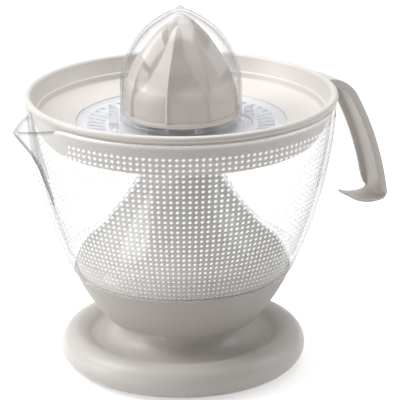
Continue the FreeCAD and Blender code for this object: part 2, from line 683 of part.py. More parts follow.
# ---- jug ------------------------------------------------------------------------
def spout_wedge(inset):
    """A three-sided wedge from the tip to inside the wall; inset moves its faces in."""
    keel_slope = (SPOUT_TIP[1] - SPOUT_KEEL[1]) / (SPOUT_TIP[0] - SPOUT_KEEL[0])
    root_x = JUG_RIM[0] - 9.0
    side_x = JUG_RIM[0] * cos(radians(SPOUT_HALF_ANGLE))
    side_y = JUG_RIM[0] * sin(radians(SPOUT_HALF_ANGLE))
    reach = SPOUT_TIP[0] - root_x
    half = side_y * reach / (SPOUT_TIP[0] - side_x) - inset
    raised = 2.0 if inset else 0.0
    tip = V(1.4 * inset - SPOUT_TIP[0], 0, SPOUT_TIP[1] + raised)
    low_tip = V(tip.x, 0, SPOUT_TIP[1] - 0.8)
    left = V(-root_x, -half, JUG_RIM[1] + raised)
    right = V(-root_x, half, JUG_RIM[1] + raised)
    keel = V(-root_x, 0, SPOUT_TIP[1] - keel_slope * reach + 1.6 * inset)
    loops = [(tip, left, right), (left, keel, right)]
    for side in (left, right):
        loops += [(tip, low_tip, side), (low_tip, keel, side)]
    faces = [Part.Face(Part.makePolygon([*loop, loop[0]])) for loop in loops]
    solid = Part.makeSolid(Part.makeShell(faces))
    return solid if solid.Volume > 0 else solid.reversed()


def rivet_hole():
    return along_y(RIVET_R, -20.0, 20.0, RIVET_X, RIVET_Z)


def jug():
    """The clear jug. A cone inside it clears the bell, and a tube lets the shaft through."""
    inside = shifted_arc(JUG_LOW, JUG_MID, JUG_RIM, WALL)
    under_rim, under_shoulder, under_flare, under_crown = bell_line(BELL_TO_JUG[0])
    _, _, top_flare, top_crown = bell_line(BELL_TO_JUG[1])
    floor_r = radius_at(inside, JUG_FLOOR_Z)
    middle_z = (JUG_FLOOR_Z + inside[2][1]) / 2
    middle = (radius_at(inside, middle_z), middle_z)
    tube_in = JUG_TUBE_R - JUG_TUBE_WALL
    body = turned([
        (inside[0][0], JUG_LOW[1]), JUG_LOW, (JUG_MID, JUG_RIM), inside[2],
        (middle, (floor_r, JUG_FLOOR_Z)), JUG_VALLEY, top_flare,
        (top_crown[0], (JUG_TUBE_R + 1.0, 124.4)), (JUG_TUBE_R, 126.0),
        (JUG_TUBE_R, JUG_TUBE_TOP_Z), (tube_in, JUG_TUBE_TOP_Z), (tube_in, 125.0),
        under_crown[1], (under_crown[0], under_flare[1]), (under_flare[0], under_shoulder[1]),
        (under_shoulder[0], (under_rim[0], under_rim[1] + GAP)),
    ])
    hollow = turned([
        (0.0, JUG_FLOOR_Z), (floor_r, JUG_FLOOR_Z), (middle, inside[2]), (inside[2][0], ABOVE),
        (0.0, ABOVE),
    ])
    lug = box(LUG_X, (-LUG_HALF_Y, LUG_HALF_Y), LUG_Z).cut(hollow)
    spout = spout_wedge(0.0).cut(hollow)
    return joined([body, spout, lug]).cut([spout_wedge(WALL), rivet_hole()])


def handle_band(depth):
    """The handle's side view between its outer line and the same line moved inward."""
    top_in, back_in, heel_in = (shifted_arc(*arc, depth)
                                for arc in (HANDLE_TOP, HANDLE_BACK, HANDLE_HEEL))
    heel_end = HANDLE_HEEL[2]
    return [
        HANDLE_TOP[0], (HANDLE_TOP[1], HANDLE_TOP[2]), (HANDLE_BACK[1], HANDLE_BACK[2]),
        (HANDLE_HEEL[1], heel_end), (heel_end[0] - 0.2 * (1 + depth), heel_end[1] + depth),
        (back_in[2][0], 83.0 + 0.5 * depth), (back_in[1], back_in[0]), (top_in[1], top_in[0]),
    ]


def handle():
    """A channel that is open towards the jug, with a curled toe at its lower end."""
    def extruded(path, y_low, y_high):
        face = profile_face(path, lambda p: V(p[0], y_low, p[1]))
        return face.extrude(V(0, y_high - y_low, 0))

    web = extruded(handle_band(HANDLE_WALL), -HANDLE_HALF_Y, HANDLE_HALF_Y)
    toe = extruded(HANDLE_TOE, -HANDLE_HALF_Y, HANDLE_HALF_Y)
    flanges = [extruded(handle_band(FLANGE_DEPTH), low, low + HANDLE_WALL)
               for low in (-HANDLE_HALF_Y, HANDLE_HALF_Y - HANDLE_WALL)]
    cheek_y = LUG_HALF_Y + CHEEK_GAP
    cheek = box(CHEEK_X, (cheek_y, cheek_y + CHEEK_T), CHEEK_Z)
    cheeks = [cheek, cheek.mirror(ORIGIN, V(0, 1, 0))]
    return joined([web, toe] + flanges + cheeks).cut(rivet_hole())


def handle_rivet():
    length = LUG_HALF_Y + CHEEK_GAP + CHEEK_T
    pin = along_y(RIVET_R, -length, length, RIVET_X, RIVET_Z)
    heads = [along_y(3.0, y, y + 1.0, RIVET_X, RIVET_Z) for y in (-length - 1.0, length)]
    return joined([pin] + heads)


# ---- tray, sieve and pulp selector ----------------------------------------------
def tray():
    """An open ring with a rolled edge, a shallow dish and a skirt inside the jug's rim."""
    bead_out = (BEAD_R + BEAD_TUBE_R, BEAD_Z)
    return turned([
        (SIEVE_R + 0.2, 144.3), (79.0, 147.2), ((79.9, 147.6), (80.2, 148.4)), (80.5, 150.8),
        (81.6, 151.2), (83.6, BEAD_Z), ((BEAD_R, BEAD_Z + BEAD_TUBE_R), bead_out),
        ((BEAD_R + 1.2, BEAD_Z - 1.6), (BEAD_R, BEAD_Z - BEAD_TUBE_R)),
        (BEAD_R - 1.4, BEAD_Z - 1.42), (84.2, 156.0), ((82.4, 146.4), (76.2, 135.5)),
        (74.3, 135.9), ((77.2, 140.2), (79.4, 145.1)), (SIEVE_R + 2.0, 141.6), (55.0, 140.2),
        (55.0, 142.0), (SIEVE_R + 0.2, 142.2),
    ])


def arc_slot(centre_r, half_w, angles):
    """A through slot that follows a circle, with round ends."""
    ring = tube(centre_r - half_w, centre_r + half_w, BELOW, ABOVE)
    reach = 3 * centre_r
    sides = [polar(reach, a, BELOW) for a in (angles[0], sum(angles) / 2, angles[1])]
    fan = Part.Face(Part.makePolygon([V(0, 0, BELOW), *sides, V(0, 0, BELOW)]))
    ends = [cylinder(half_w, BELOW, ABOVE, polar(centre_r, a)) for a in angles]
    return joined([ring.common(fan.extrude(V(0, 0, ABOVE - BELOW)))] + ends)


def sieve():
    """The slotted ring under the cones, with a sleeve that the hub collar slides in."""
    body = turned([
        (HUB_R[0], SIEVE_UNDER_Z), (COLLAR_R[0], SIEVE_UNDER_Z), (COLLAR_R[0], COLLAR_LOW_Z),
        (COLLAR_R[1], COLLAR_LOW_Z), (COLLAR_R[1], SIEVE_UNDER_Z), (38.0, SIEVE_UNDER_Z),
        (54.6, 140.6), (54.6, 142.2), (SIEVE_R, 142.4), (SIEVE_R, SIEVE_RIM_Z),
        (42.0, SIEVE_FLAT_Z + 0.2), (38.0, SIEVE_FLAT_Z), (HUB_R[1], SIEVE_FLAT_Z),
        (HUB_R[1], HUB_TOP_Z), (HUB_R[0], HUB_TOP_Z),
    ])
    slot = box(SLOT_R, (-0.8, 0.8), (BELOW, ABOVE))
    travel = [arc_slot(PEG_CENTRE_R, PEG_R + GAP, (a, a + SELECTOR_TRAVEL)) for a in PEG_ANGLES]
    return body.cut(ring_of(slot, SLOTS) + travel)


def pulp_selector():
    """A slotted disc under the sieve; its two pegs turn it to pass more or less pulp."""
    disc = tube(COLLAR_R[1] + GAP, SELECTOR_R, *SELECTOR_Z)
    window = box((SLOT_R[0] + 0.4, SLOT_R[1] - 0.4), (-1.9, 1.9), (BELOW, ABOVE))
    pegs = [cylinder(PEG_R, SELECTOR_Z[1] - 0.5, PEG_TOP_Z, polar(PEG_CENTRE_R, a))
            for a in PEG_ANGLES]
    return joined([disc.cut(ring_of(window, SLOTS // 2))] + pegs)


def selector_clip():
    return tube(COLLAR_R[1], CLIP_RING_R, *CLIP_RING_Z)


def hub_collar():
    """The floating bearing that the cones turn in; it sinks with them in the sieve's hub."""
    flange_r, flange_low, flange_high = HUB_COLLAR_FLANGE
    sleeve = cylinder(HUB_R[0] - SLIDING, HUB_COLLAR_LOW_Z, flange_low + 0.2)
    flange = cylinder(flange_r, flange_low, flange_high)
    return joined([sleeve, flange]).cut(cylinder(SPINDLE_R + SLIDING, BELOW, ABOVE))


# ---- spindle and reamer cones ---------------------------------------------------
def drive_spindle():
    """The socket that drops over the shaft's hexagonal tip and carries the small cone."""
    flange_r, flange_low, flange_high = SPINDLE_FLANGE
    body = cylinder(SPINDLE_R, SPINDLE_LOW_Z, flange_high)
    flange = cylinder(flange_r, flange_low, flange_high)
    post = cylinder(POST_R, flange_low + 1.0, POST_TOP_Z)
    spline = box((5.0, SPLINE_R), (-SPLINE_HALF, SPLINE_HALF), (flange_low + 1.0, SPLINE_TOP_Z))
    socket = hexagon(HEX_FLATS + 2 * GAP, BELOW, SHAFT_TOP_Z + 2.0)
    return joined([body, flange, post] + ring_of(spline, SPLINES)).cut(socket)


def fin(crest, root):
    """One upright rib between a crest line and a root point, in the XZ plane."""
    face = profile_face([*crest, root], lambda p: V(p[0], -RIB_HALF, p[1]))
    return face.extrude(V(0, 2 * RIB_HALF, 0))


def small_cone():
    """The opaque cone for lemons: grooves between long and short ribs, a splined socket."""
    rib_low = CONE_BAND_Z - 2.0
    inner_r = CONE_BASE_R - CONE_WALL
    core = turned([
        (0.0, 150.0), (CONE_BASE_R - 0.8, 150.0), (CONE_BASE_R - 0.8, CONE_BAND_Z - 6.0),
        (31.2, CONE_BAND_Z), ((23.2, 178.5), (7.2, 200.0)), (0.0, 203.6),
    ])
    flange = cylinder(CONE_BASE_R, CONE_BASE_Z, 150.2)
    long_crest = [(31.6, rib_low), ((24.8, 180.5), (6.6, 203.2)), (0.0, CONE_TOP_Z)]
    short_crest = [(31.6, rib_low), ((25.4, 180.5), (14.0, 195.6)), (8.0, 196.0)]
    root = (0.0, rib_low)
    ribs = ring_of(fin(long_crest, root), LONG_RIBS, FIRST_RIB)
    ribs += ring_of(fin(short_crest, root), LONG_RIBS, FIRST_RIB + 180.0 / LONG_RIBS)
    cavity = turned([
        (0.0, BELOW), (inner_r - 0.6, BELOW), (inner_r - 0.8, CONE_BAND_Z - 4.0),
        ((21.0, 176.5), (8.0, 194.0)), (0.0, 196.0),
    ])
    keyway_half = SPLINE_HALF + GAP
    keyway = box((4.0, SPLINE_R + GAP), (-keyway_half, keyway_half), (150.0, SPLINE_TOP_Z + 0.4))
    socket = joined([cylinder(POST_R + GAP, 150.0, POST_TOP_Z + 0.4)] + ring_of(keyway, SPLINES))
    bush = cylinder(10.4, SPINDLE_FLANGE[2] + GAP, CONE_TOP_Z - 6.8).common(core).cut(socket)
    return joined([joined([core, flange] + ribs).cut(cavity), bush])


def large_cone():
    """The clear cone for oranges, a shell that drops over the small one."""
    step_z = SHELL_BASE_Z + 1.6
    outside = turned([
        (0.0, SHELL_BASE_Z), (SHELL_BASE_R, SHELL_BASE_Z), (SHELL_BASE_R, step_z),
        (34.4, step_z + 0.4), (34.3, 162.0), ((30.2, 182.2), (12.4, 203.0)), (3.0, 207.9),
        (0.0, 208.2),
    ])
    crest = [(33.6, 160.0), ((31.8, 182.6), (9.4, 206.4)), (0.0, 208.6)]
    ribs = ring_of(fin(crest, (0.0, 160.0)), SHELL_RIBS, FIRST_RIB + 90.0 / SHELL_RIBS)
    nub = cylinder(2.2, 206.0, SHELL_TOP_Z)
    cavity = turned([
        (0.0, BELOW), (33.2, BELOW), (33.1, 162.0), ((29.0, 181.2), (11.2, 201.4)),
        (2.0, 206.4), (0.0, 206.6),
    ])
    return joined([outside, nub] + ribs).cut(cavity)


PIECES = [
    foot_ring, base_plate, grip_ring, base_screws, cable_gland, bowl_nubs, bowl_housing,
    pedestal_screws, bell_housing, shaft_bush, shaft_seal, low_plate, plate_screws, high_plate,
    plate_pillars, pillar_nuts, gear_pins, shaft_low_bush, motor_cradle, stator_core,
    coil_bobbins, coil_windings, rotor_magnet, rotor_hub, rotor_shaft, rotor_pinion, rotor_bushes,
    first_gear, second_gear, output_gear, drive_shaft, shaft_clip, thrust_washer, return_spring,
    switch_body, switch_lever, terminal_block, jug, handle, handle_rivet, tray, sieve,
    pulp_selector, selector_clip, hub_collar, drive_spindle, small_cone, large_cone,
]

os.makedirs("parts", exist_ok=True)
for piece in PIECES:
    shape = piece()
    shape.exportStep("parts/" + piece.__name__ + ".step")
    volume = sum(solid.Volume for solid in shape.Solids) / 1000
    print(f"{piece.__name__:18s} solids {len(shape.Solids)} valid {shape.isValid()} {volume:8.2f} cm3")
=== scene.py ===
import json
from math import asin, atan2, cos, degrees, hypot, pi, radians, sin, sqrt

import bmesh
import bpy
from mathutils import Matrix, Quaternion, Vector


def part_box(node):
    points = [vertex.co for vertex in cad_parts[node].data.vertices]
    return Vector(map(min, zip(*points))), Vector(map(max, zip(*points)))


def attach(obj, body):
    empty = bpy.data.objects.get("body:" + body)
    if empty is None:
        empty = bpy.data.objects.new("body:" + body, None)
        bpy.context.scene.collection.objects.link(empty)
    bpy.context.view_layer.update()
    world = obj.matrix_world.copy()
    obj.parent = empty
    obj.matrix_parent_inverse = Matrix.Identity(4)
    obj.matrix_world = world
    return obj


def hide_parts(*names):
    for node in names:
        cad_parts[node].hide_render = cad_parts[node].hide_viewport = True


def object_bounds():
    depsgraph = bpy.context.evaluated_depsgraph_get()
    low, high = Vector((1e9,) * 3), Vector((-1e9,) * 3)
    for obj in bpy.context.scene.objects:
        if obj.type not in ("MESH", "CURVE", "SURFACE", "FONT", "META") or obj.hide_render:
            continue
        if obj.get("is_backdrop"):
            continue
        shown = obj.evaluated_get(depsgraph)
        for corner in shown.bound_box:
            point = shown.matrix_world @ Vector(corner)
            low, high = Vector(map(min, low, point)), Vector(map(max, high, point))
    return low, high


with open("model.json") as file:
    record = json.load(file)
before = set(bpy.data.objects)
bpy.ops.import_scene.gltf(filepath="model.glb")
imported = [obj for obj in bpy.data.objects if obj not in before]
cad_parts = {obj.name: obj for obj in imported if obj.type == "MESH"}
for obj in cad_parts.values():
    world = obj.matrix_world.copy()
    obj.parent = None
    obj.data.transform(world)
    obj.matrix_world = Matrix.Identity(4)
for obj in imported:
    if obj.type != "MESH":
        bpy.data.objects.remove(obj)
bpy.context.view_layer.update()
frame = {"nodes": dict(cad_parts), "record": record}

MM = 0.001                      # metres in a millimetre, the unit of the pieces' shapes
TURN_STEPS = 192                # steps of a full turn


# ---- materials: noise in features per metre, heights in metres -------------------
NOISE_RANGE = (0.3, 0.7)        # nearly all of a noise's values lie between these
BLOTCH_SCALE, HANDLING_SCALE, GRAIN_SCALE = 45.0, 160.0, 1500.0
HANDLING_DRY, HANDLING_WORN = 0.015, 0.02       # roughness below and above the named one
GRAIN_STRENGTH, PLASTIC_IOR = 0.5, 1.5
BRUSH_SCALE, BRUSH_DETAIL, BRUSH_STRETCH, BRUSH_SHADE = 900.0, 4.0, (1, 1, 12), 0.9
BRUSH_SMOOTH, BRUSH_ROUGH = 0.06, 0.08
SWELL_SCALE, SWELL_DETAIL, SWELL_STRENGTH, SWELL_HEIGHT = 60.0, 1.0, 0.3, 0.00002
CLEAR_HANDLING_SCALE, CLEAR_HANDLING = 120.0, (0.5, 1.5)        # shares of the roughness
MIRROR = (0.03, 0.6)            # how strongly clear plastics mirror, face-on and edge-on
GRAZING_POWER = 4.0             # how suddenly they turn grey and mirror towards their outline
MILK_COLOUR = (0.93, 0.94, 0.96)
GLINT, GLINT_ROUGHNESS = 0.6, 0.45              # painted glints on the jug's lenses, rim and foot
GLINT_MARKS = (0.15, 0.55)      # the marks between which a spot comes up
# painted grey shade for thick clear plastic: the spout's keel and lip, and the cone's knob
PAINTED_EDGE_SHADE = (0.56, 0.56, 0.56)
MARKS_NAME = "dimple"           # the mesh attribute that holds the marks for painted glints and shade


def new_material(name):
    material = bpy.data.materials.new(name)
    material.use_nodes = True
    nodes = material.node_tree.nodes
    return material, nodes, material.node_tree.links, nodes["Principled BSDF"]


def noise(nodes, links, scale, detail=3.0, stretch=(1, 1, 1)):
    """Noise from 0 to 1 in the piece's own coordinates."""
    place = nodes.new("ShaderNodeTexCoord")
    mapping = nodes.new("ShaderNodeMapping")
    mapping.inputs["Scale"].default_value = stretch
    texture = nodes.new("ShaderNodeTexNoise")
    texture.inputs["Scale"].default_value = scale
    texture.inputs["Detail"].default_value = detail
    links.new(place.outputs["Object"], mapping.inputs["Vector"])
    links.new(mapping.outputs["Vector"], texture.inputs["Vector"])
    return texture.outputs["Fac"]


def mapped(nodes, links, source, given, wanted, kind="LINEAR"):
    """A value moved from the range given to the range wanted."""
    span = nodes.new("ShaderNodeMapRange")
    span.interpolation_type = kind
    for name, value in zip(("From Min", "From Max", "To Min", "To Max"), (*given, *wanted)):
        span.inputs[name].default_value = value
    links.new(source, span.inputs["Value"])
    return span.outputs["Result"]


def bumped(nodes, links, height, strength, distance):
    """Normals as if the surface stood up to distance higher where height is 1."""
    bump = nodes.new("ShaderNodeBump")
    bump.inputs["Strength"].default_value = strength
    bump.inputs["Distance"].default_value = distance
    links.new(height, bump.inputs["Height"])
    return bump.outputs["Normal"]


def colour_between(nodes, links, share, first, second):
    """A colour that goes from the first to the second as share goes from 0 to 1."""
    mix = nodes.new("ShaderNodeMix")
    mix.data_type = "RGBA"
    mix.inputs["A"].default_value = (*first, 1)
    mix.inputs["B"].default_value = (*second, 1)
    links.new(share, mix.inputs["Factor"])
    return mix.outputs["Result"]


def mixed(nodes, links, share, first, second):
    """Two shaders mixed; share is the second one's, as a number or a node's output."""
    mix = nodes.new("ShaderNodeMixShader")
    if isinstance(share, float):
        mix.inputs["Fac"].default_value = share
    else:
        links.new(share, mix.inputs["Fac"])
    links.new(first, mix.inputs[1])
    links.new(second, mix.inputs[2])
    return mix.outputs["Shader"]


def coloured(nodes, kind, colour):
    """A plain shader of one colour."""
    shader = nodes.new(kind)
    shader.inputs["Color"].default_value = (*colour, 1)
    return shader


def plastic(name, colour, roughness=0.35, mottle=0.012, grain=0.000004):
    """Opaque moulded plastic with faint blotches, handling marks and a fine grain."""
    material, nodes, links, shader = new_material(name)
    dark = [c * (1 - mottle) for c in colour]
    light = [min(1, c * (1 + mottle)) for c in colour]
    tone = colour_between(nodes, links, noise(nodes, links, BLOTCH_SCALE), dark, light)
    links.new(tone, shader.inputs["Base Color"])
    handled = mapped(nodes, links, noise(nodes, links, HANDLING_SCALE), NOISE_RANGE,
                     (roughness - HANDLING_DRY, roughness + HANDLING_WORN))
    links.new(handled, shader.inputs["Roughness"])
    fine = bumped(nodes, links, noise(nodes, links, GRAIN_SCALE), GRAIN_STRENGTH, grain)
    links.new(fine, shader.inputs["Normal"])
    shader.inputs["IOR"].default_value = PLASTIC_IOR
    return material


def metal(name, colour, roughness=0.3):
    """Bare metal with faint brushing."""
    material, nodes, links, shader = new_material(name)
    shader.inputs["Metallic"].default_value = 1.0
    brushed = noise(nodes, links, BRUSH_SCALE, BRUSH_DETAIL, BRUSH_STRETCH)
    dark = [c * BRUSH_SHADE for c in colour]
    links.new(colour_between(nodes, links, brushed, dark, colour), shader.inputs["Base Color"])
    handled = mapped(nodes, links, brushed, NOISE_RANGE,
                     (roughness - BRUSH_SMOOTH, roughness + BRUSH_ROUGH))
    links.new(handled, shader.inputs["Roughness"])
    return material


def clear(name, tint, edge, roughness=0.03, shade=0.95, milk=0.0):
    """Clear moulded plastic. Its shadow is only as dark as shade says, and where the mesh
    has marks, it gets painted glints on lenses, rim and foot, and painted grey shade on thick
    edges."""
    material, nodes, links, shader = new_material(name)
    nodes.remove(shader)
    wall = thin_wall(nodes, links, tint, edge, roughness)
    body = with_painted_glint_and_shade(nodes, links, with_milk(nodes, links, wall, milk))
    lit = coloured(nodes, "ShaderNodeBsdfTransparent", (shade, shade, shade))
    path = nodes.new("ShaderNodeLightPath")
    surface = mixed(nodes, links, path.outputs["Is Shadow Ray"], body, lit.outputs["BSDF"])
    links.new(surface, nodes["Material Output"].inputs["Surface"])
    return material


def thin_wall(nodes, links, tint, edge, roughness):
    """A thin wall: what is behind it shows in tint. At a grazing angle it takes on the
    colour edge and mirrors more."""
    waves = noise(nodes, links, SWELL_SCALE, SWELL_DETAIL)
    swell = bumped(nodes, links, waves, SWELL_STRENGTH, SWELL_HEIGHT)
    weight = nodes.new("ShaderNodeLayerWeight")
    links.new(swell, weight.inputs["Normal"])
    power = nodes.new("ShaderNodeMath")
    power.operation = "POWER"
    power.inputs[1].default_value = GRAZING_POWER
    links.new(weight.outputs["Facing"], power.inputs[0])
    grazing = power.outputs["Value"]
    seen = nodes.new("ShaderNodeBsdfTransparent")
    links.new(colour_between(nodes, links, grazing, tint, edge), seen.inputs["Color"])
    gloss = nodes.new("ShaderNodeBsdfGlossy")
    handled = mapped(nodes, links, noise(nodes, links, CLEAR_HANDLING_SCALE), NOISE_RANGE,
                     [roughness * share for share in CLEAR_HANDLING])
    links.new(handled, gloss.inputs["Roughness"])
    links.new(swell, gloss.inputs["Normal"])
    mirror = mapped(nodes, links, grazing, (0, 1), MIRROR)
    return mixed(nodes, links, mirror, seen.outputs["BSDF"], gloss.outputs["BSDF"])


def with_milk(nodes, links, body, amount):
    """Adds the slight cloudiness of a clear moulding that is scratched by use."""
    cloud = coloured(nodes, "ShaderNodeBsdfDiffuse", MILK_COLOUR)
    return mixed(nodes, links, amount, body, cloud.outputs["BSDF"])


def by_mark(nodes, links, given, most):
    """A weight from 0 to most as the mesh's marks go through the range given."""
    marks = nodes.new("ShaderNodeAttribute")
    marks.attribute_name = MARKS_NAME
    return mapped(nodes, links, marks.outputs["Fac"], given, (0, most), "SMOOTHSTEP")


def with_painted_glint_and_shade(nodes, links, body):
    """Adds a painted glint, a rough mirror layer, on each raised lens and along the rim and foot,
    where the marks are above zero, and painted grey shade on thick edges, where they are below."""
    # painted glint: a rough white mirror layer mixed in where the marks are above zero
    glint = coloured(nodes, "ShaderNodeBsdfGlossy", (1, 1, 1))
    glint.inputs["Roughness"].default_value = GLINT_ROUGHNESS
    glint_share = by_mark(nodes, links, GLINT_MARKS, GLINT)
    bright = mixed(nodes, links, glint_share, body, glint.outputs["BSDF"])
    # painted grey shade that darkens thick clear plastic where the marks are below zero
    thick = coloured(nodes, "ShaderNodeBsdfTransparent", PAINTED_EDGE_SHADE)
    return mixed(nodes, links, by_mark(nodes, links, (0, -1), 1), bright, thick.outputs["BSDF"])


WARM_WHITE = (0.80, 0.765, 0.73)
SLOTS = {
    "ring_plastic": plastic("ring_plastic", WARM_WHITE, 0.32, grain=0.000001),
    "bowl_plastic": plastic("bowl_plastic", (0.60, 0.572, 0.545), 0.55),
    "bell_plastic": plastic("bell_plastic", (0.77, 0.735, 0.70), 0.65),
    "jug_clear": clear("jug_clear", (0.99, 0.992, 0.992), (0.56, 0.56, 0.56), milk=0.03),
    "sieve_clear": clear("sieve_clear", (0.96, 0.97, 0.99), (0.85, 0.86, 0.88),
                         roughness=0.08, shade=0.75, milk=0.5),
    "cone_clear": clear("cone_clear", (0.99, 0.99, 0.99), (0.70, 0.70, 0.71), shade=0.94),
    "tray_plastic": plastic("tray_plastic", WARM_WHITE, 0.32),
    "handle_plastic": plastic("handle_plastic", WARM_WHITE, 0.36),
    "cone_plastic": plastic("cone_plastic", (0.71, 0.66, 0.625), 0.44),
    "rubber_grey": plastic("rubber_grey", (0.20, 0.20, 0.20), 0.65, mottle=0.08, grain=0.00006),
    "steel": metal("steel", (0.62, 0.62, 0.63)),
    "laminations": metal("laminations", (0.35, 0.35, 0.37), 0.45),
    "copper": metal("copper", (0.72, 0.38, 0.20), 0.28),
    "sinter": metal("sinter", (0.66, 0.50, 0.28), 0.5),
    "gear_nylon": plastic("gear_nylon", (0.84, 0.82, 0.76), 0.45),
    "works_black": plastic("works_black", (0.05, 0.05, 0.05), 0.5, mottle=0.1),
    "magnet": plastic("magnet", (0.11, 0.11, 0.12), 0.55, mottle=0.1),
    "plate_plastic": plastic("plate_plastic", (0.55, 0.53, 0.51), 0.5),
}
SELECTOR_CLEAR = clear("selector_clear", (0.97, 0.975, 0.98), (0.45, 0.45, 0.47),
                       roughness=0.05, shade=0.85, milk=0.15)


def finish_cad_nodes():
    """Gives each CAD node its slot's material; the pulp selector is clearer than the sieve."""
    for part in frame["record"]["subparts"]:
        mesh = frame["nodes"][part["node"]].data
        mesh.materials.clear()
        mesh.materials.append(SLOTS[part["material_slot"]])
    frame["nodes"]["pulp_selector"].data.materials[0] = SELECTOR_CLEAR


# ---- small tools for shapes, in millimetres -------------------------------------
SOFT_TURN = radians(18)         # a corner that turns less than this stays as it is
SOFT_SHARE = 0.45               # the most of a side that rounding takes at each end


def circle_through(a, m, b):
    """Centre and radius of the circle through three (r, z) points."""
    d = 2 * (a[0] * (m[1] - b[1]) + m[0] * (b[1] - a[1]) + b[0] * (a[1] - m[1]))
    squares = [p[0] ** 2 + p[1] ** 2 for p in (a, m, b)]
    x = squares[0] * (m[1] - b[1]) + squares[1] * (b[1] - a[1]) + squares[2] * (a[1] - m[1])
    z = squares[0] * (b[0] - m[0]) + squares[1] * (a[0] - b[0]) + squares[2] * (m[0] - a[0])
    centre = (x / d, z / d)
    return centre, hypot(a[0] - centre[0], a[1] - centre[1])


def shifted(curve, inward):
    """The same three-point arc moved towards its centre, away from it when negative."""
    centre, radius = circle_through(*curve)
    share = (radius - inward) / radius
    return [tuple(c + (p[i] - c) * share for i, c in enumerate(centre)) for p in curve]


def radius_at(curve, z):
    """Distance from the Z axis of the outer half of an (r, z) arc at height z."""
    centre, radius = circle_through(*curve)
    return centre[0] + sqrt(radius ** 2 - (z - centre[1]) ** 2)


def arc(a, m, b, steps=16):
    """Points from a through m to b along a circle, both ends included."""
    centre, radius = circle_through(a, m, b)
    start, middle, end = (atan2(p[1] - centre[1], p[0] - centre[0]) for p in (a, m, b))
    sweep = (end - start) % (2 * pi)
    if (middle - start) % (2 * pi) > sweep:
        sweep -= 2 * pi
    angles = [start + sweep * i / steps for i in range(steps + 1)]
    return [(centre[0] + radius * cos(t), centre[1] + radius * sin(t)) for t in angles]


def softened(points, edge, steps=3):
    """A closed outline whose corners are rounded by edge, or less where a side is short."""
    result = []
    for i, here in enumerate(points):
        p, h, n = Vector(points[i - 1]), Vector(here), Vector(points[(i + 1) % len(points)])
        before, after = p - h, n - h
        if before.angle(-after) < SOFT_TURN:
            result.append(here)
            continue
        reach = min(edge, SOFT_SHARE * before.length, SOFT_SHARE * after.length)
        a, b = h + before.normalized() * reach, h + after.normalized() * reach
        for j in range(steps + 1):
            t = j / steps
            result.append(tuple(a * (1 - t) ** 2 + h * 2 * t * (1 - t) + b * t ** 2))
    return result


def ring(radius, z, count):
    """A level ring of points round the Z axis; radius may be a function of the angle."""
    points = []
    for i in range(count):
        angle = 2 * pi * i / count
        r = radius(angle) if callable(radius) else radius
        points.append((r * cos(angle), r * sin(angle), z))
    return points


def skin(rings, closed=False, caps=(False, False)):
    """Vertices and faces between rings in order. A ring may hold a whole multiple of the
    points of its neighbour. closed joins the last ring to the first; caps fill the ends."""
    vertices = [p for points in rings for p in points]
    starts = [sum(len(points) for points in rings[:i]) for i in range(len(rings))]
    faces = []
    for i in list(range(len(rings) - 1)) + ([-1] if closed else []):
        a, b = starts[i], starts[i + 1]
        m, n = len(rings[i]), len(rings[i + 1])
        for j in range(min(m, n)):
            low = [a + (j * max(1, m // n) + k) % m for k in range(max(1, m // n) + 1)]
            high = [b + (j * max(1, n // m) + k) % n for k in range(max(1, n // m) + 1)]
            faces.append(low + high[::-1])
    if caps[0]:
        faces.append(list(range(len(rings[0])))[::-1])
    if caps[1]:
        faces.append([starts[-1] + k for k in range(len(rings[-1]))])
    return vertices, faces


def piece(name, vertices, faces, slot, body, *nodes, sharp=32):
    """A smooth-shaded mesh that rides a CAD body and stands for CAD nodes."""
    mesh = bpy.data.meshes.new(name)
    mesh.from_pydata([Vector(v) * MM for v in vertices], [], faces)
    work = bmesh.new()
    work.from_mesh(mesh)
    bmesh.ops.recalc_face_normals(work, faces=work.faces)
    for face in work.faces:
        face.smooth = True
    for edge in work.edges:
        edge.smooth = len(edge.link_faces) == 2 and edge.calc_face_angle() < radians(sharp)
    work.to_mesh(mesh)
    work.free()
    mesh.materials.append(SLOTS[slot])
    obj = bpy.data.objects.new(name, mesh)
    bpy.context.scene.collection.objects.link(obj)
    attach(obj, body)
    if nodes:
        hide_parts(*nodes)
    return obj


def mark(shell, values):
    """Stores one value for each point, which the clear materials read as painted glint or shade."""
    layer = shell.data.attributes.new(MARKS_NAME, "FLOAT", "POINT")
    layer.data.foreach_set("value", values)


def merged(*shapes):
    """Several (vertices, faces) shapes as one."""
    vertices, faces = [], []
    for some, polygons in shapes:
        faces += [[k + len(vertices) for k in polygon] for polygon in polygons]
        vertices += some
    return vertices, faces


def welded(shape):
    """A shape whose points that lie in one place are joined, so that it is closed."""
    index, remap, vertices = {}, [], []
    for v in shape[0]:
        key = tuple(round(c, 4) for c in v)
        if key not in index:
            index[key] = len(vertices)
            vertices.append(v)
        remap.append(index[key])
    faces = [[remap[k] for k in polygon] for polygon in shape[1]]
    return vertices, [f for f in faces if len(set(f)) == len(f)]


def lathe(outline, edge, count=TURN_STEPS):
    """A closed (r, z) outline turned round the Z axis, with its corners softened."""
    rings = [ring(r, z, count) for r, z in softened(outline, edge)]
    return skin(rings, closed=True)


def eased(t):
    """0 below 0, 1 above 1, and a smooth rise between."""
    t = min(1.0, max(0.0, t))
    return t * t * (3 - 2 * t)


def smooth_max(a, b, blend):
    """The larger of two lengths, with the corner between them rounded over blend."""
    overlap = max(0.0, 1 - abs(a - b) / blend)
    return max(a, b) + overlap * overlap * blend / 4


def spaced(start, end, steps):
    """Even steps from start up to, but without, end."""
    return [start + (end - start) * i / steps for i in range(steps)]


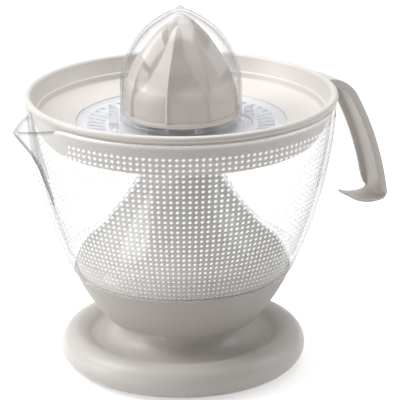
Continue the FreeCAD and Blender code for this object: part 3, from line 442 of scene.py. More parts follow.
# ---- motor base; three-point curves are arcs of (distance from the axis, height) ----
WALL = 2.2
RING = [(61.6, 1.0), (70.3, 11.3), (61.0, 20.5)]    # foot: under, widest, crest
RING_LIP = [(61.0, 20.5), (57.2, 19.6), (54.0, 17.8)]
RING_RUNOUT = [(54.0, 17.8), (51.2, 16.1), (48.0, 15.45)]    # how the lip runs out on the deck
DECK_Z = 15.4
PEDESTAL_R, PEDESTAL_WALL = 36.0, 2.5
DISH = [(47.0, 15.4), (39.2, 18.2), (36.0, 25.5)]   # hollow that joins the deck to the pedestal
RING_EDGE, BOWL_EDGE, BELL_EDGE = 0.8, 0.7, 0.5     # by how much corners are rounded
BOWL = [(44.2, 29.3), (57.0, 47.8), (61.9, 57.4)]
BOWL_HOLE_R, BOWL_FLOOR_CORNER = 24.5, 0.4
SEAT_R, SEAT_Z = 57.8, 55.2                         # step inside the bowl's rim for the bell
RIDGE_PITCH, RIDGE_HEIGHT = 0.85, 0.08
NUBS, NUB_FIRST, NUB_CIRCLE_R, NUB_STEPS = 6, 45.5, 40.6, 24
NUB_DOME = [(0.05, -2.6), (2.4, -2.0), (3.4, -0.4)]     # heights from the bowl's underside
BELL_RIM = (59.4, 61.0)
BELL_SHOULDER = [BELL_RIM, (57.3, 66.8), (52.0, 71.5)]
BELL_FLARE = [(52.0, 71.5), (34.3, 90.8), (19.0, 116.0)]
BELL_CROWN = [(19.0, 116.0), (15.6, 120.4), (11.0, 123.0)]
BELL_TONGUE_R, BELL_TONGUE_TOP_Z = 57.6, 58.0
BOSS_R, BOSS_FOOT_Z, BOSS_TOP_Z = 9.5, 124.5, 129.0
BORE_R, NECK_Z, NECK_TOP_Z = 6.8, 110.0, 117.5      # the shaft's bore in the bell's neck


def make_foot_ring():
    bulge_in, lip_in = shifted(RING, WALL), shifted(RING_LIP, WALL)
    runout_in = [(r, z - WALL) for r, z in RING_RUNOUT]
    under_z, bowl_z = DECK_Z - WALL, BOWL[0][1]
    bore_r = PEDESTAL_R - PEDESTAL_WALL
    outline = (arc(*RING) + arc(*RING_LIP, 8)[1:] + arc(*RING_RUNOUT, 8)[1:]
               + arc(*DISH, 10) + [(PEDESTAL_R, bowl_z), (bore_r, bowl_z), (bore_r, under_z)]
               + arc(*runout_in[::-1], 8)[:-1] + arc(*lip_in[::-1], 8) + arc(*bulge_in[::-1])[1:])
    piece("foot_ring_skin", *lathe(outline, RING_EDGE), "ring_plastic", "motor_base", "foot_ring")


def make_nubs():
    """The rounded studs under the bowl that keep a wound cord in place."""
    top = BOWL[0][1]
    dome = arc(*[(r, top + z) for r, z in NUB_DOME], 6) + [(NUB_DOME[2][0], top)]
    one = skin([ring(r, z, NUB_STEPS) for r, z in dome], caps=(True, True))
    shapes = []
    for i in range(NUBS):
        angle = radians(NUB_FIRST + 360 * i / NUBS)
        across, along = NUB_CIRCLE_R * cos(angle), NUB_CIRCLE_R * sin(angle)
        shapes.append(([(x + across, y + along, z) for x, y, z in one[0]], one[1]))
    piece("bowl_nub_studs", *merged(*shapes), "ring_plastic", "motor_base", "bowl_nubs")


def ridged(curve):
    """An arc with fine level ridges, as a mould tool's turning marks leave them."""
    centre, radius = circle_through(*curve)
    length = hypot(curve[2][0] - curve[0][0], curve[2][1] - curve[0][1])
    ridges = round(length / RIDGE_PITCH)
    points = []
    for i, (r, z) in enumerate(arc(*curve, 4 * ridges)):
        out = RIDGE_HEIGHT * (sin(pi / 2 * i) - 1) / radius
        points.append((r + (r - centre[0]) * out, z + (z - centre[1]) * out))
    return points


def make_bowl():
    inner = shifted(BOWL, WALL)
    floor_z = BOWL[0][1] + WALL
    outline = ([(BOWL_HOLE_R, BOWL[0][1])] + ridged(BOWL)
               + [(SEAT_R, BOWL[2][1]), (SEAT_R, SEAT_Z)] + arc(*inner[::-1])[1:]
               + [(inner[0][0] - BOWL_FLOOR_CORNER, floor_z), (BOWL_HOLE_R, floor_z)])
    piece("bowl_shell", *lathe(outline, BOWL_EDGE), "bowl_plastic", "motor_base", "bowl_housing")


def bell_line(outward, steps=14):
    """The bell's outside moved outward, from its shoulder to its crown."""
    shoulder = arc(*shifted(BELL_SHOULDER, -outward), 6)
    flare = arc(*shifted(BELL_FLARE, outward), steps)
    crown = arc(*shifted(BELL_CROWN, -outward), 4)
    return shoulder[1:-1], flare, crown[1:]


def make_bell():
    shoulder, flare, crown = bell_line(0.0)
    _, flare_in, _ = bell_line(-WALL)
    neck_r, tongue_in_r = BORE_R + WALL, BELL_TONGUE_R - WALL
    outline = ([(tongue_in_r, SEAT_Z), (BELL_TONGUE_R, SEAT_Z), (BELL_TONGUE_R, BOWL[2][1])]
               + [(BELL_RIM[0], BOWL[2][1]), BELL_RIM] + shoulder + flare + crown
               + [(BOSS_R, BOSS_FOOT_Z), (BOSS_R, BOSS_TOP_Z), (BORE_R, BOSS_TOP_Z)]
               + [(BORE_R, NECK_Z), (neck_r, NECK_Z), (neck_r, NECK_TOP_Z)] + flare_in[::-1][1:]
               + [(BELL_RIM[0] - WALL, BELL_RIM[1]), (tongue_in_r, BELL_TONGUE_TOP_Z)])
    piece("bell_shell", *lathe(outline, BELL_EDGE), "bell_plastic", "motor_base", "bell_housing")


# ---- jug ------------------------------------------------------------------------
JUG_WALL = [(62.3, 57.7), (77.3, 97.0), (87.3, 155.5)]
JUG_FOOT_STEP, JUG_FOOT_EDGE, JUG_FOOT_TURN = 0.5, 0.3, 0.5
JUG_PLAIN_Z, JUG_LIP_HEIGHT, JUG_LIP_STEPS = 152.0, 0.8, 5
JUG_INNER_DROP, JUG_INNER_STEPS = 2.5, 8
JUG_FLOOR_Z, JUG_FLOOR_CORNER, JUG_VALLEY = 69.5, 3.0, (54.2, 74.3)
BELL_TO_JUG, BELL_TO_JUG_FLOOR, FLOOR_STEPS, BELL_RIM_GAP = 1.0, 3.0, 8, 0.3
TUBE_R, TUBE_WALL, TUBE_TOP_Z, TUBE_EDGE = 13.0, 2.0, 139.0, 0.5
TUBE_FOOT_Z, TUBE_BORE_FOOT_Z = 126.0, 125.0
SPOUT_TIP, SPOUT_KEEL_SLOPE, SPOUT_SIDE = (104.8, 154.6), 1.5, 0.985
SPOUT_KNEE, SPOUT_LOW_SLOPE, KNEE_BLEND = (91.7, 135.0), 2.66, 2.0      # keel turns steeper
SPOUT_REACH, SPOUT_BLEND, KEEL_WALLS = pi / 3, 3.0, 1.4     # the keel is 1.4 walls thick
SPOUT_BULGE, SPOUT_HALF = 0.016, radians(13)
SPOUT_DROOP, DROOP_FROM_Z, DROOP_RISE = 2.2, 120, 34
DIMPLE_COLUMNS, DIMPLE_ROWS, DIMPLE_HEIGHT = 153, 30, 0.42
DIMPLES_Z = (59.2, 149.2)
DIMPLE_CELL = (0.0, 0.22, 0.5, 0.78)                # places of the mesh lines in one cell
DIMPLE_REACH, DIMPLE_STEEPNESS = 0.42, 1.5          # reach is a share of the cell
SPOUT_CLEAR = 16.0                                  # degrees on each side without dimples
CLEAR_FROM_Z, CLEAR_RISE = 118, 30
MESH_ROWS, COLUMNS = 4 * DIMPLE_ROWS, 4 * DIMPLE_COLUMNS
FOOT_RINGS = 3
# the rim's mark paints a highlight line along the rim and foot; the negative marks paint grey shade
# on the spout's lip and keel
RIM_GLINT_SHARE, SPOUT_LIP_SHADE_SHARE, KEEL_SHADE_SHARE = 0.4, -0.6, -1.0    # marks for the material
KEEL_HALF, KEEL_OUT = radians(1.6), 1
LOW_LENS, LOW_ROWS = 0.5, 9                         # painted glints are weaker in the lowest rows


def with_spout(radius, z, inset=0.0):
    """A ring's radius by angle: the round wall, drawn out to a V at the spout."""
    high = SPOUT_TIP[0] - (SPOUT_TIP[1] - z) / SPOUT_KEEL_SLOPE
    low = SPOUT_KNEE[0] - (SPOUT_KNEE[1] - z) / SPOUT_LOW_SLOPE
    keel = smooth_max(high, low, KNEE_BLEND) - KEEL_WALLS * inset

    def at(angle):
        away = abs(angle - pi)
        if away > SPOUT_REACH:
            return radius
        side = SPOUT_SIDE * keel / (sin(away) + SPOUT_SIDE * cos(away))
        side *= 1 + SPOUT_BULGE * sin(pi * min(1.0, away / SPOUT_HALF))
        return smooth_max(radius, side, SPOUT_BLEND)

    return at


def spout_point(angle, r, wall, z):
    """A point of the wall; the lip hangs a little where the spout stands out."""
    out = max(0.0, r - wall) / (SPOUT_TIP[0] - JUG_WALL[2][0])
    drop = SPOUT_DROOP * eased(out) * eased((z - DROOP_FROM_Z) / DROOP_RISE)
    return (r * cos(angle), r * sin(angle), z - drop)


def column_angle(column):
    """The angle of one of the wall's upright mesh lines."""
    return 2 * pi * (column // 4 + DIMPLE_CELL[column % 4]) / DIMPLE_COLUMNS


def dimple(row, column):
    """Height of the lens-shaped dimples where two mesh lines of the wall cross."""
    u, v = DIMPLE_CELL[row % 4] - 0.5, DIMPLE_CELL[column % 4] - 0.5
    rise = cos(min(1.0, hypot(u, v) / DIMPLE_REACH) * pi / 2)
    return DIMPLE_HEIGHT * rise ** DIMPLE_STEEPNESS


def has_dimple(row, angle, z):
    """Whether dimples may stand there. The spout has none, and is wider the higher it is."""
    spread = eased((z - CLEAR_FROM_Z) / CLEAR_RISE) * SPOUT_CLEAR
    return row < MESH_ROWS and abs(degrees(angle) - 180) > spread


def dimpled_ring(row):
    """A ring of the wall; the rows of dimples are evenly spaced along its curve."""
    centre, reach = circle_through(*JUG_WALL)
    first, last = (asin((z - centre[1]) / reach) for z in DIMPLES_Z)
    share = (row // 4 + DIMPLE_CELL[row % 4]) / DIMPLE_ROWS
    z = centre[1] + reach * sin(first + (last - first) * share)
    wall = radius_at(JUG_WALL, z)
    radius = with_spout(wall, z)
    points = []
    for i in range(COLUMNS):
        angle = column_angle(i)
        r = radius(angle)
        if has_dimple(row, angle, z):
            r += dimple(row, i)
        points.append(spout_point(angle, r, wall, z))
    return points


def wall_ring(radius, z, inset=0.0):
    """A plain ring on the wall's mesh lines, with the spout in it."""
    at = with_spout(radius, z, inset)
    angles = [column_angle(i) for i in range(COLUMNS)]
    return [spout_point(angle, at(angle), radius, z) for angle in angles]


def plain_ring(radius, z):
    """A round ring whose points meet every second one of the wall's mesh lines."""
    angles = [2 * pi * (i // 2 + (0.0, 0.5)[i % 2]) / DIMPLE_COLUMNS for i in range(COLUMNS // 2)]
    return [(radius * cos(angle), radius * sin(angle), z) for angle in angles]


def jug_lip():
    """The rounded edge from the outside over the rim to the inside."""
    rim_r, rim_z = JUG_WALL[2]
    half = WALL / 2
    rings = []
    for i in range(JUG_LIP_STEPS + 1):
        turn = pi * i / JUG_LIP_STEPS
        z = rim_z - JUG_LIP_HEIGHT + JUG_LIP_HEIGHT * sin(turn)
        inset = half - half * cos(turn)
        rings.append(wall_ring(rim_r - inset, z, inset))
    return rings


def jug_outside():
    """Rings from under the jug's foot up its dimpled wall."""
    foot_r, low_z = JUG_WALL[0]
    turn_z = low_z + JUG_FOOT_TURN
    rings = [wall_ring(shifted(JUG_WALL, WALL)[0][0] + JUG_FOOT_STEP, low_z)]
    rings += [wall_ring(foot_r - JUG_FOOT_EDGE, low_z)]
    rings += [wall_ring(radius_at(JUG_WALL, turn_z), turn_z)]
    rings += [dimpled_ring(row) for row in range(MESH_ROWS + 1)]
    return rings + [wall_ring(radius_at(JUG_WALL, JUG_PLAIN_Z), JUG_PLAIN_Z)]


def jug_inner_wall():
    inside = shifted(JUG_WALL, WALL)
    top_z, low_z = JUG_WALL[2][1] - JUG_INNER_DROP, JUG_FLOOR_Z + JUG_FLOOR_CORNER
    heights = spaced(top_z, low_z, JUG_INNER_STEPS) + [low_z]
    return [wall_ring(radius_at(inside, z), z, WALL) for z in heights]


def jug_floor():
    """Rings over the jug's floor, up and down its tube, and back along its underside."""
    corner = JUG_FLOOR_CORNER
    floor_r = radius_at(shifted(JUG_WALL, WALL), JUG_FLOOR_Z + corner)
    _, flare, crown = bell_line(BELL_TO_JUG_FLOOR, FLOOR_STEPS)
    under_shoulder, under_flare, under_crown = bell_line(BELL_TO_JUG, FLOOR_STEPS)
    tube_in_r, edge_z = TUBE_R - TUBE_WALL, TUBE_TOP_Z - TUBE_EDGE
    line = [(floor_r - corner * (1 - cos(t)), JUG_FLOOR_Z + corner * (1 - sin(t)))
            for t in (pi / 6, pi / 3, pi / 2)]
    line += [JUG_VALLEY] + flare[1:] + crown[:-1]
    line += [(TUBE_R, TUBE_FOOT_Z), (TUBE_R, edge_z), (TUBE_R - TUBE_EDGE, TUBE_TOP_Z)]
    line += [(tube_in_r + TUBE_EDGE, TUBE_TOP_Z), (tube_in_r, edge_z)]
    line += [(tube_in_r, TUBE_BORE_FOOT_Z)] + under_crown[::-1] + under_flare[::-1]
    line += under_shoulder[::-1] + [(BELL_RIM[0] + BELL_TO_JUG, BELL_RIM[1] + BELL_RIM_GAP)]
    return [plain_ring(r, z) for r, z in line]


def jug_mark(point, row, column):
    """What the material reads at a point of the outer wall or, above its rows, of the lip: a
    dimple's share of its height, which sets its painted glint; the rim's painted highlight; or less
    than zero, painted grey shade on the spout's thick keel and lip."""
    angle = atan2(point.y, point.x) % (2 * pi)
    wall = radius_at(JUG_WALL, point.z)
    plain = with_spout(wall, point.z)(angle)
    if row > MESH_ROWS + 1:
        return SPOUT_LIP_SHADE_SHARE if plain > wall + SPOUT_BLEND else RIM_GLINT_SHARE
    if plain > wall + KEEL_OUT and abs(angle - pi) < KEEL_HALF:
        return KEEL_SHADE_SHARE
    if has_dimple(row, angle, point.z):
        fade = min(1.0, LOW_LENS + (1 - LOW_LENS) * row / (4 * LOW_ROWS))
        return fade * dimple(row, column) / DIMPLE_HEIGHT
    return 0.0


def make_jug():
    outside = jug_outside() + jug_lip()
    rings = outside + jug_inner_wall() + jug_floor()
    shell = piece("jug_shell", *skin(rings, closed=True), "jug_clear", "jug", "jug", sharp=50)
    values = [0.0] * len(shell.data.vertices)
    wall_start = FOOT_RINGS * COLUMNS
    # the rings round the foot's edge get the rim's painted highlight line
    values[COLUMNS:wall_start] = [RIM_GLINT_SHARE] * (wall_start - COLUMNS)
    for i in range(wall_start, len(outside) * COLUMNS):
        row, column = divmod(i - wall_start, COLUMNS)
        values[i] = jug_mark(shell.data.vertices[i].co / MM, row, column)
    mark(shell, values)


# ---- handle ---------------------------------------------------------------------
HANDLE_TOP = [(87.6, 156.2), (104.0, 152.6), (113.5, 142.0)]
HANDLE_BACK = [(113.5, 142.0), (126.4, 113.4), (134.28, 82.0)]
HANDLE_HEEL = [(134.28, 82.0), (133.2, 78.0), (129.5, 76.3)]
HANDLE_TOE = [(129.5, 76.3), (121.8, 76.2), (113.0, 78.6)]
HANDLE_HALF, HANDLE_WALL, FLANGE_DEPTH, TOE_WALL = 10.8, 2.0, 5.0, 1.6
HANDLE_EDGE, FLANGE_EDGE = 0.9, 0.5
FADE_BEFORE, FADE_STEPS = 4, 7      # the flanges run out over these steps, round the heel
CHEEK_X, CHEEK_Y, CHEEK_Z = (88.4, 100.0), (5.1, 6.9), (141.0, 154.0)
LUG_X, LUG_Y, LUG_Z = (86.2, 99.0), (-5.0, 5.0), (139.0, 152.4)
PLATE_CORNER, PLATE_INSET, PLATE_TURN, PLATE_STEPS = 2.0, 0.3, 0.2, 32


def channel_section(depth, wall):
    """Half outline of the channel, as (distance from the middle, depth from the back). The
    shares of edge round its back, and those of lip the edges of its flanges."""
    edge, lip, half = HANDLE_EDGE, FLANGE_EDGE, HANDLE_HALF
    web = min(wall, depth)
    return [
        (half - 2.2 * edge, 0.0), (half - edge, 0.12 * edge), (half - 0.3 * edge, 0.3 * edge),
        (half, 1.2 * edge), (half, max(1.3 * edge, depth - lip)), (half - 0.3 * lip, depth - 0.1),
        (half - wall / 2, depth), (half - wall + 0.2, depth - 0.1),
        (half - wall, max(web, depth - lip)), (half - wall - 0.1, web + min(0.5, depth - web)),
        (half - wall - 0.6, web),
    ]


def make_handle():
    down = arc(*HANDLE_TOP, 14) + arc(*HANDLE_BACK, 22)[1:]
    path = down + arc(*HANDLE_HEEL, 8)[1:] + arc(*HANDLE_TOE, 12)[1:]
    fade_from = len(down) - FADE_BEFORE
    rings = []
    for i, (x, z) in enumerate(path):
        before, after = path[max(0, i - 1)], path[min(len(path) - 1, i + 1)]
        along = Vector((after[0] - before[0], after[1] - before[1])).normalized()
        inward = Vector((along.y, -along.x))
        fade = eased((i - fade_from) / FADE_STEPS)
        wall = HANDLE_WALL + (TOE_WALL - HANDLE_WALL) * fade
        depth = FLANGE_DEPTH + (TOE_WALL - FLANGE_DEPTH) * fade
        half = channel_section(depth, wall)
        section = half + [(-w, d) for w, d in half[::-1]]
        rings.append([(x + inward.x * d, w, z + inward.y * d) for w, d in section])
    shape = skin(rings, caps=(True, True))
    cheeks = [rounded_plate(CHEEK_X, [sign * y for y in CHEEK_Y], CHEEK_Z) for sign in (-1, 1)]
    piece("handle_channel", *merged(shape, *cheeks), "handle_plastic", "jug", "handle", sharp=40)


def rounded_plate(x, y, z):
    """An upright plate with rounded corners, from three (low, high) pairs."""
    middle = ((x[0] + x[1]) / 2, (z[0] + z[1]) / 2)
    reach = ((x[1] - x[0]) / 2 - PLATE_CORNER, (z[1] - z[0]) / 2 - PLATE_CORNER)
    turn = PLATE_TURN * (y[1] - y[0])
    rings = []
    for depth, inset in ((y[0], PLATE_INSET), (y[0] + turn, 0.0),
                         (y[1] - turn, 0.0), (y[1], PLATE_INSET)):
        points = []
        for i in range(PLATE_STEPS):
            t = 2 * pi * (i + 0.5) / PLATE_STEPS
            side = (1 if cos(t) > 0 else -1, 1 if sin(t) > 0 else -1)
            round_r = PLATE_CORNER - inset
            points.append((middle[0] + side[0] * reach[0] + round_r * cos(t), depth,
                           middle[1] + side[1] * reach[1] + round_r * sin(t)))
        rings.append(points)
    return skin(rings, caps=(True, True))


def make_lug():
    """The clear tongue of the jug between the handle's cheeks."""
    piece("jug_lug", *rounded_plate(LUG_X, LUG_Y, LUG_Z), "jug_clear", "jug")


# ---- tray -----------------------------------------------------------------------
TRAY_EDGE = 0.35
BEAD_R, BEAD_Z, BEAD_TUBE_R, BEAD_IN_R = 86.0, 158.6, 2.0, 83.9
BEAD_UNDER = [(1.2, -1.6), (-1.4, -1.42)]           # from the bead's middle
SKIRT_OUT = [(84.2, 156.0), (82.4, 146.4), (76.2, 135.5)]
SKIRT_IN = [(74.3, 135.9), (77.2, 140.2), (79.4, 145.1)]
SIEVE_R, SIEVE_GAP, SIEVE_TOP_Z = 59.0, 0.2, 144.3
TRAY_FLOOR = [(79.0, 147.2), (79.9, 147.6), (80.2, 148.4)]      # its outer end turns up
TRAY_STEP = [(80.5, 150.8), (81.6, 151.2)]
LEDGE = [(SIEVE_R + 2.0, 141.6), (55.0, 140.2), (55.0, 142.0), (SIEVE_R + SIEVE_GAP, 142.2)]


def make_tray():
    bead_out = (BEAD_R + BEAD_TUBE_R, BEAD_Z)
    bead = arc((BEAD_IN_R, BEAD_Z), (BEAD_R, BEAD_Z + BEAD_TUBE_R), bead_out, 14)
    side, foot = ((BEAD_R + r, BEAD_Z + z) for r, z in BEAD_UNDER)
    under = arc(bead_out, side, (BEAD_R, BEAD_Z - BEAD_TUBE_R), 6)
    outline = ([(SIEVE_R + SIEVE_GAP, SIEVE_TOP_Z)] + TRAY_FLOOR + TRAY_STEP + bead + under[1:]
               + [foot] + arc(*SKIRT_OUT, 14) + arc(*SKIRT_IN, 8) + LEDGE)
    piece("tray_dish", *lathe(outline, TRAY_EDGE), "tray_plastic", "tray", "tray")


# ---- cones ----------------------------------------------------------------------
LONG_RIBS, FIRST_RIB = 4, 1.5
CONE_STEPS, CONE_BAND_R = 480, 31.3
CONE_BAND_Z, SCOOP_FADE = 158.0, 13.0
RIB_HALF = 1.3
CREST = [(0.0, 205.7), (6.4, 204.2), (11.5, 201.0), (15.3, 197.0), (18.3, 193.0), (20.8, 189.0),
         (23.3, 185.0), (27.0, 178.6), (29.9, 172.0), (31.7, 165.0), (32.6, 158.0), (32.7, 150.0)]
SHORT_CREST = [(5.0, 200.0), (8.6, 198.8), (12.0, 196.2), (15.0, 192.8), (17.8, 189.2),
               (20.6, 185.4), (24.0, 181.2), (27.2, 176.6), (29.8, 171.0), (31.5, 165.0),
               (32.4, 158.0), (32.7, 150.0)]
LONG_FLANK = [(64.0, 203.0), (60.0, 197.0), (52.0, 190.0), (46.0, 182.0), (46.0, 174.0),
              (50.0, 167.0), (58.0, 160.0)]         # degrees that a flank turns from the rib
SHORT_FLANK = [(40.0, 196.0), (36.0, 184.0), (33.5, 174.0), (30.0, 167.0), (24.0, 160.0)]
CREST_ROUND = [(3.4, 205.0), (3.0, 198.0), (1.6, 190.0), (0.7, 180.0), (0.3, 165.0)]
SHORT_ROUND, FLANK_BLEND = 0.25, 0.5
HOLLOW, HOLLOW_SHARE = 0.5, 0.42        # how far the short ribs' flanks sink in, and how wide
FLANGE_R, FLANGE_HEIGHT, FLANGE_CHAMFER = 32.9, 2.2, 0.4
BAND_FOOT = (0.6, 0.1)              # how far the band's foot stands out and up
LINING_HOLE_R, LINING_R, LINING_FOOT = 24.0, 29.6, (0.1, 1.0)
LINING = [(29.0, 155.0), (21.0, 176.0), (8.0, 193.0), (2.0, 196.0)]
CONE_HEIGHTS = [150.6, 153.0, 156.0, 158.0]         # closer where the section changes faster
CONE_HEIGHTS += spaced(159.0, 163.9, 7) + spaced(164.0, 192.0, 28) + spaced(192.0, 201.0, 22)
CONE_HEIGHTS += spaced(201.0, 203.4, 4) + [203.4, 203.9, 204.3, 204.7, 205.0, 205.3, 205.5]


def read_off(line, z):
    """The first value of a (value, height) line at a height, straight between its points."""
    if z >= line[0][1]:
        return line[0][0]
    for (a, za), (b, zb) in zip(line, line[1:]):
        if z >= zb:
            return b + (a - b) * (z - zb) / (za - zb)
    return line[-1][0]


def flank(crest, away, turned_by, blunt):
    """Radius of a rib's flat flank at an angle away from its crest, which is blunt."""
    away = sqrt(away ** 2 + (blunt / crest) ** 2)
    return crest * cos(turned_by) / cos(away - turned_by)


def cone_ring(z):
    """The small cone's section: four long ribs, and four short ones that rise between."""
    crest, short = read_off(CREST, z), read_off(SHORT_CREST, z)
    blunt = min(read_off(CREST_ROUND, z), 0.5 * crest)
    long_turn, short_turn = (radians(read_off(line, z)) for line in (LONG_FLANK, SHORT_FLANK))
    sector = 2 * pi / LONG_RIBS
    scooped = eased((z - CONE_BAND_Z) / SCOOP_FADE)

    def radius(angle):
        turn = (angle - radians(FIRST_RIB)) % sector
        away = min(turn, sector - turn)
        beside = sector / 2 - away
        high = flank(crest, away, long_turn, blunt)
        low = 0.0
        if z < SHORT_CREST[0][1]:
            sag = HOLLOW * sin(min(pi, beside / (HOLLOW_SHARE * sector) * pi))
            low = flank(short, beside, short_turn, SHORT_ROUND) - sag
        groove = smooth_max(high, low, FLANK_BLEND)
        near = min(away, beside) * crest
        rib = max(0.0, 1 - near / RIB_HALF)
        band = CONE_BAND_R + (crest - CONE_BAND_R) * rib
        return groove * scooped + band * (1 - scooped)

    return ring(radius, z, CONE_STEPS)


def make_small_cone():
    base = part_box("small_cone")[0].z / MM
    flange = [(LINING_HOLE_R, base), (FLANGE_R - FLANGE_CHAMFER, base)]
    flange += [(FLANGE_R, base + FLANGE_CHAMFER), (FLANGE_R, base + FLANGE_HEIGHT - FLANGE_CHAMFER)]
    flange += [(FLANGE_R - FLANGE_CHAMFER, base + FLANGE_HEIGHT)]
    flange += [(CONE_BAND_R + BAND_FOOT[0], base + FLANGE_HEIGHT + BAND_FOOT[1])]
    lining = [(LINING_HOLE_R, base)] + [(LINING_R, base + z) for z in LINING_FOOT] + LINING
    rings = [ring(r, z, CONE_STEPS) for r, z in flange] + [cone_ring(z) for z in CONE_HEIGHTS]
    outside = skin(rings, caps=(False, True))
    inside = skin([ring(r, z, CONE_STEPS) for r, z in lining], caps=(False, True))
    piece("small_cone_ribbed", *merged(outside, inside), "cone_plastic", "small_cone",
          "small_cone")


SHELL_OUT = [(34.3, 162.0), (30.2, 182.2), (12.4, 203.0)]
SHELL_IN = [(33.1, 162.0), (29.0, 181.2), (11.2, 201.4)]
SHELL_BASE_R, SHELL_RIBS, RIB_SHARPNESS = 34.7, 8, 6
SHELL_RIB_HEIGHT, SHELL_TOP_RISE, RISE_STEPS = 0.12, 0.3, 4
SHELL_FOOT = [(-0.3, 0.0), (0.0, 0.3), (0.0, 1.4), (-0.4, 1.9)]     # from the base's edge
SHELL_SKIRT, SHELL_TOP = (34.2, 156.0), (8.0, 205.6)
SHELL_SKIRT_IN, SHELL_FOOT_IN_R = (33.0, 156.0), 33.2
SHELL_TOP_IN = [(0.3, 206.8), (2.0, 206.4), (7.2, 204.2)]
KNOB, KNOB_TOP = [(3.4, 207.6), (2.4, 208.2), (2.1, 209.0)], (1.4, 0.3)
KNOB_Z, KNOB_SHADE_SHARE = 207.8, -0.45       # above this height the knob gets painted grey shade


def shell_ring(r, z, rise):
    """A ring of the clear cone, with its slight ribs standing rise above it."""
    def radius(angle):
        turn = (angle * SHELL_RIBS + radians(FIRST_RIB) * SHELL_RIBS) % (2 * pi)
        return r + rise * max(0.0, cos(turn)) ** RIB_SHARPNESS

    return ring(radius, z, TURN_STEPS)


def make_large_cone():
    low, high = (corner.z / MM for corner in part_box("large_cone"))
    outside = [(SHELL_BASE_R + r, low + z, 0.0) for r, z in SHELL_FOOT] + [(*SHELL_SKIRT, 0.0)]
    for i, (r, z) in enumerate(arc(*SHELL_OUT, 22)):
        rise = SHELL_RIB_HEIGHT * min(1.0, i / RISE_STEPS)
        outside.append((r - SHELL_RIB_HEIGHT, z, rise))
    outside += [(*SHELL_TOP, SHELL_TOP_RISE)] + [(r, z, 0.0) for r, z in KNOB]
    outside += [(r, high, 0.0) for r in KNOB_TOP]
    inside = SHELL_TOP_IN + arc(*SHELL_IN, 22)[::-1] + [SHELL_SKIRT_IN, (SHELL_FOOT_IN_R, low)]
    rings = [shell_ring(r, z, rise) for r, z, rise in outside]
    top = skin(rings, caps=(False, True))
    under = skin([ring(r, z, TURN_STEPS) for r, z in inside], caps=(True, False))
    rim = skin([ring(SHELL_FOOT_IN_R, low, TURN_STEPS), rings[0]])
    shell = piece("large_cone_shell", *welded(merged(top, under, rim)), "cone_clear",
                  "large_cone", "large_cone")
    mark(shell, [KNOB_SHADE_SHARE if v.co.z > KNOB_Z * MM else 0.0 for v in shell.data.vertices])


# ---- stage, light and camera, in metres and degrees --------------------------------
FLOOR_REACH, FLOOR_COLOUR = 12.0, (0.86, 0.86, 0.855)
FLOOR_SPECKLE_SCALE, FLOOR_ROUGHNESS = 12.0, (0.80, 0.9)
FLOOR_GLOW, FLOOR_BOUNCE = 0.6, (0.72, 0.70, 0.685)
WORLD_COLOUR = (1.0, 0.99, 0.98)
WORLD_SEEN, WORLD_DIFFUSE, WORLD_MIRRORED = 1.0, 0.12, 0.6
TARGET = Vector((0, 0, 0.1))
VIEW_AZIMUTH, VIEW_ELEVATION, VIEW_DISTANCE = -29.5, 18.68, 1.3477
LENS, SENSOR = 213.5, 36.0
SHIFT = (0.0456, -0.0167)
ROLL = 0.44
CAMERA_SIDE = VIEW_AZIMUTH - 90         # the camera's direction as the lamps measure theirs


def stage_material():
    """A pale floor that bounces less light on to the object than it shows."""
    material, nodes, links, shader = new_material("pale_floor")
    speckle = noise(nodes, links, FLOOR_SPECKLE_SCALE)
    links.new(mapped(nodes, links, speckle, NOISE_RANGE, FLOOR_ROUGHNESS),
              shader.inputs["Roughness"])
    shader.inputs["Base Color"].default_value = (*FLOOR_COLOUR, 1)
    shader.inputs["Specular IOR Level"].default_value = 0.0
    glow = nodes.new("ShaderNodeEmission")
    glow.inputs["Strength"].default_value = FLOOR_GLOW
    add = nodes.new("ShaderNodeAddShader")
    links.new(shader.outputs["BSDF"], add.inputs[0])
    links.new(glow.outputs["Emission"], add.inputs[1])
    bounce = coloured(nodes, "ShaderNodeBsdfDiffuse", FLOOR_BOUNCE)
    bounced = nodes.new("ShaderNodeLightPath").outputs["Diffuse Depth"]
    surface = mixed(nodes, links, bounced, add.outputs["Shader"], bounce.outputs["BSDF"])
    links.new(surface, nodes["Material Output"].inputs["Surface"])
    return material


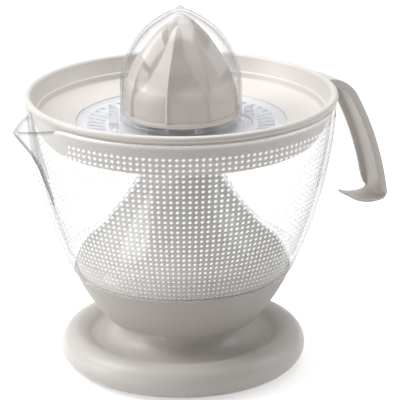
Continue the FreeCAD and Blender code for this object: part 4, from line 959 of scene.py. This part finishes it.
def make_floor():
    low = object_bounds()[0].z
    mesh = bpy.data.meshes.new("floor")
    signs = ((-1, -1), (1, -1), (1, 1), (-1, 1))
    corners = [(FLOOR_REACH * x, FLOOR_REACH * y, low) for x, y in signs]
    mesh.from_pydata(corners, [], [(0, 1, 2, 3)])
    mesh.materials.append(stage_material())
    floor = bpy.data.objects.new("floor", mesh)
    bpy.context.scene.collection.objects.link(floor)
    floor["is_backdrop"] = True


def make_world():
    """A plain bright room, dimmer for the light that it sheds and for what mirrors show."""
    world = bpy.data.worlds.new("studio")
    bpy.context.scene.world = world
    world.use_nodes = True
    nodes, links = world.node_tree.nodes, world.node_tree.links
    path = nodes.new("ShaderNodeLightPath")
    product = nodes.new("ShaderNodeMath")
    product.operation = "MULTIPLY"
    shed = mapped(nodes, links, path.outputs["Diffuse Depth"], (0, 1), (WORLD_SEEN, WORLD_DIFFUSE))
    shown = mapped(nodes, links, path.outputs["Is Glossy Ray"], (0, 1), (1, WORLD_MIRRORED))
    links.new(shed, product.inputs[0])
    links.new(shown, product.inputs[1])
    links.new(product.outputs["Value"], nodes["Background"].inputs["Strength"])
    nodes["Background"].inputs["Color"].default_value = (*WORLD_COLOUR, 1)


def soft_box(name, azimuth, elevation, distance, size, power):
    """A square lamp that faces the object's middle, placed by its direction from there."""
    data = bpy.data.lights.new(name, "AREA")
    data.size = size
    data.energy = power
    lamp = bpy.data.objects.new(name, data)
    a, e = radians(azimuth), radians(elevation)
    toward = Vector((cos(a) * cos(e), sin(a) * cos(e), sin(e)))
    lamp.location = TARGET + toward * distance
    lamp.rotation_mode = "QUATERNION"
    lamp.rotation_quaternion = toward.to_track_quat("Z", "Y")
    bpy.context.scene.collection.objects.link(lamp)


def make_lamps():
    soft_box("key_left", CAMERA_SIDE - 88, 42, distance=1.4, size=0.8, power=10.5)
    soft_box("low_left", CAMERA_SIDE - 80, 8, distance=1.5, size=0.6, power=4.5)
    soft_box("top", CAMERA_SIDE + 180, 80, distance=1.3, size=1.1, power=12.5)
    soft_box("fill_right", CAMERA_SIDE + 95, 26, distance=1.6, size=0.9, power=4.5)


def make_camera():
    data = bpy.data.cameras.new("camera")
    data.lens = LENS
    data.sensor_width = SENSOR
    data.shift_x, data.shift_y = SHIFT
    camera = bpy.data.objects.new("camera", data)
    a, e = radians(VIEW_AZIMUTH), radians(VIEW_ELEVATION)
    back = Vector((sin(a) * cos(e), -cos(a) * cos(e), sin(e)))
    camera.location = TARGET + back * VIEW_DISTANCE
    camera.rotation_mode = "QUATERNION"
    facing = (-back).to_track_quat("-Z", "Y")
    camera.rotation_quaternion = facing @ Quaternion((0, 0, 1), radians(-ROLL))
    bpy.context.scene.collection.objects.link(camera)
    bpy.context.scene.camera = camera


finish_cad_nodes()
for make in (make_foot_ring, make_nubs, make_bowl, make_bell, make_jug, make_handle, make_lug,
             make_tray, make_small_cone, make_large_cone,
             make_floor, make_world, make_camera, make_lamps):
    make()
bpy.context.scene.view_settings.view_transform = "Standard"
bpy.context.scene.cycles.max_bounces = 16
bpy.context.scene.cycles.transparent_max_bounces = 32
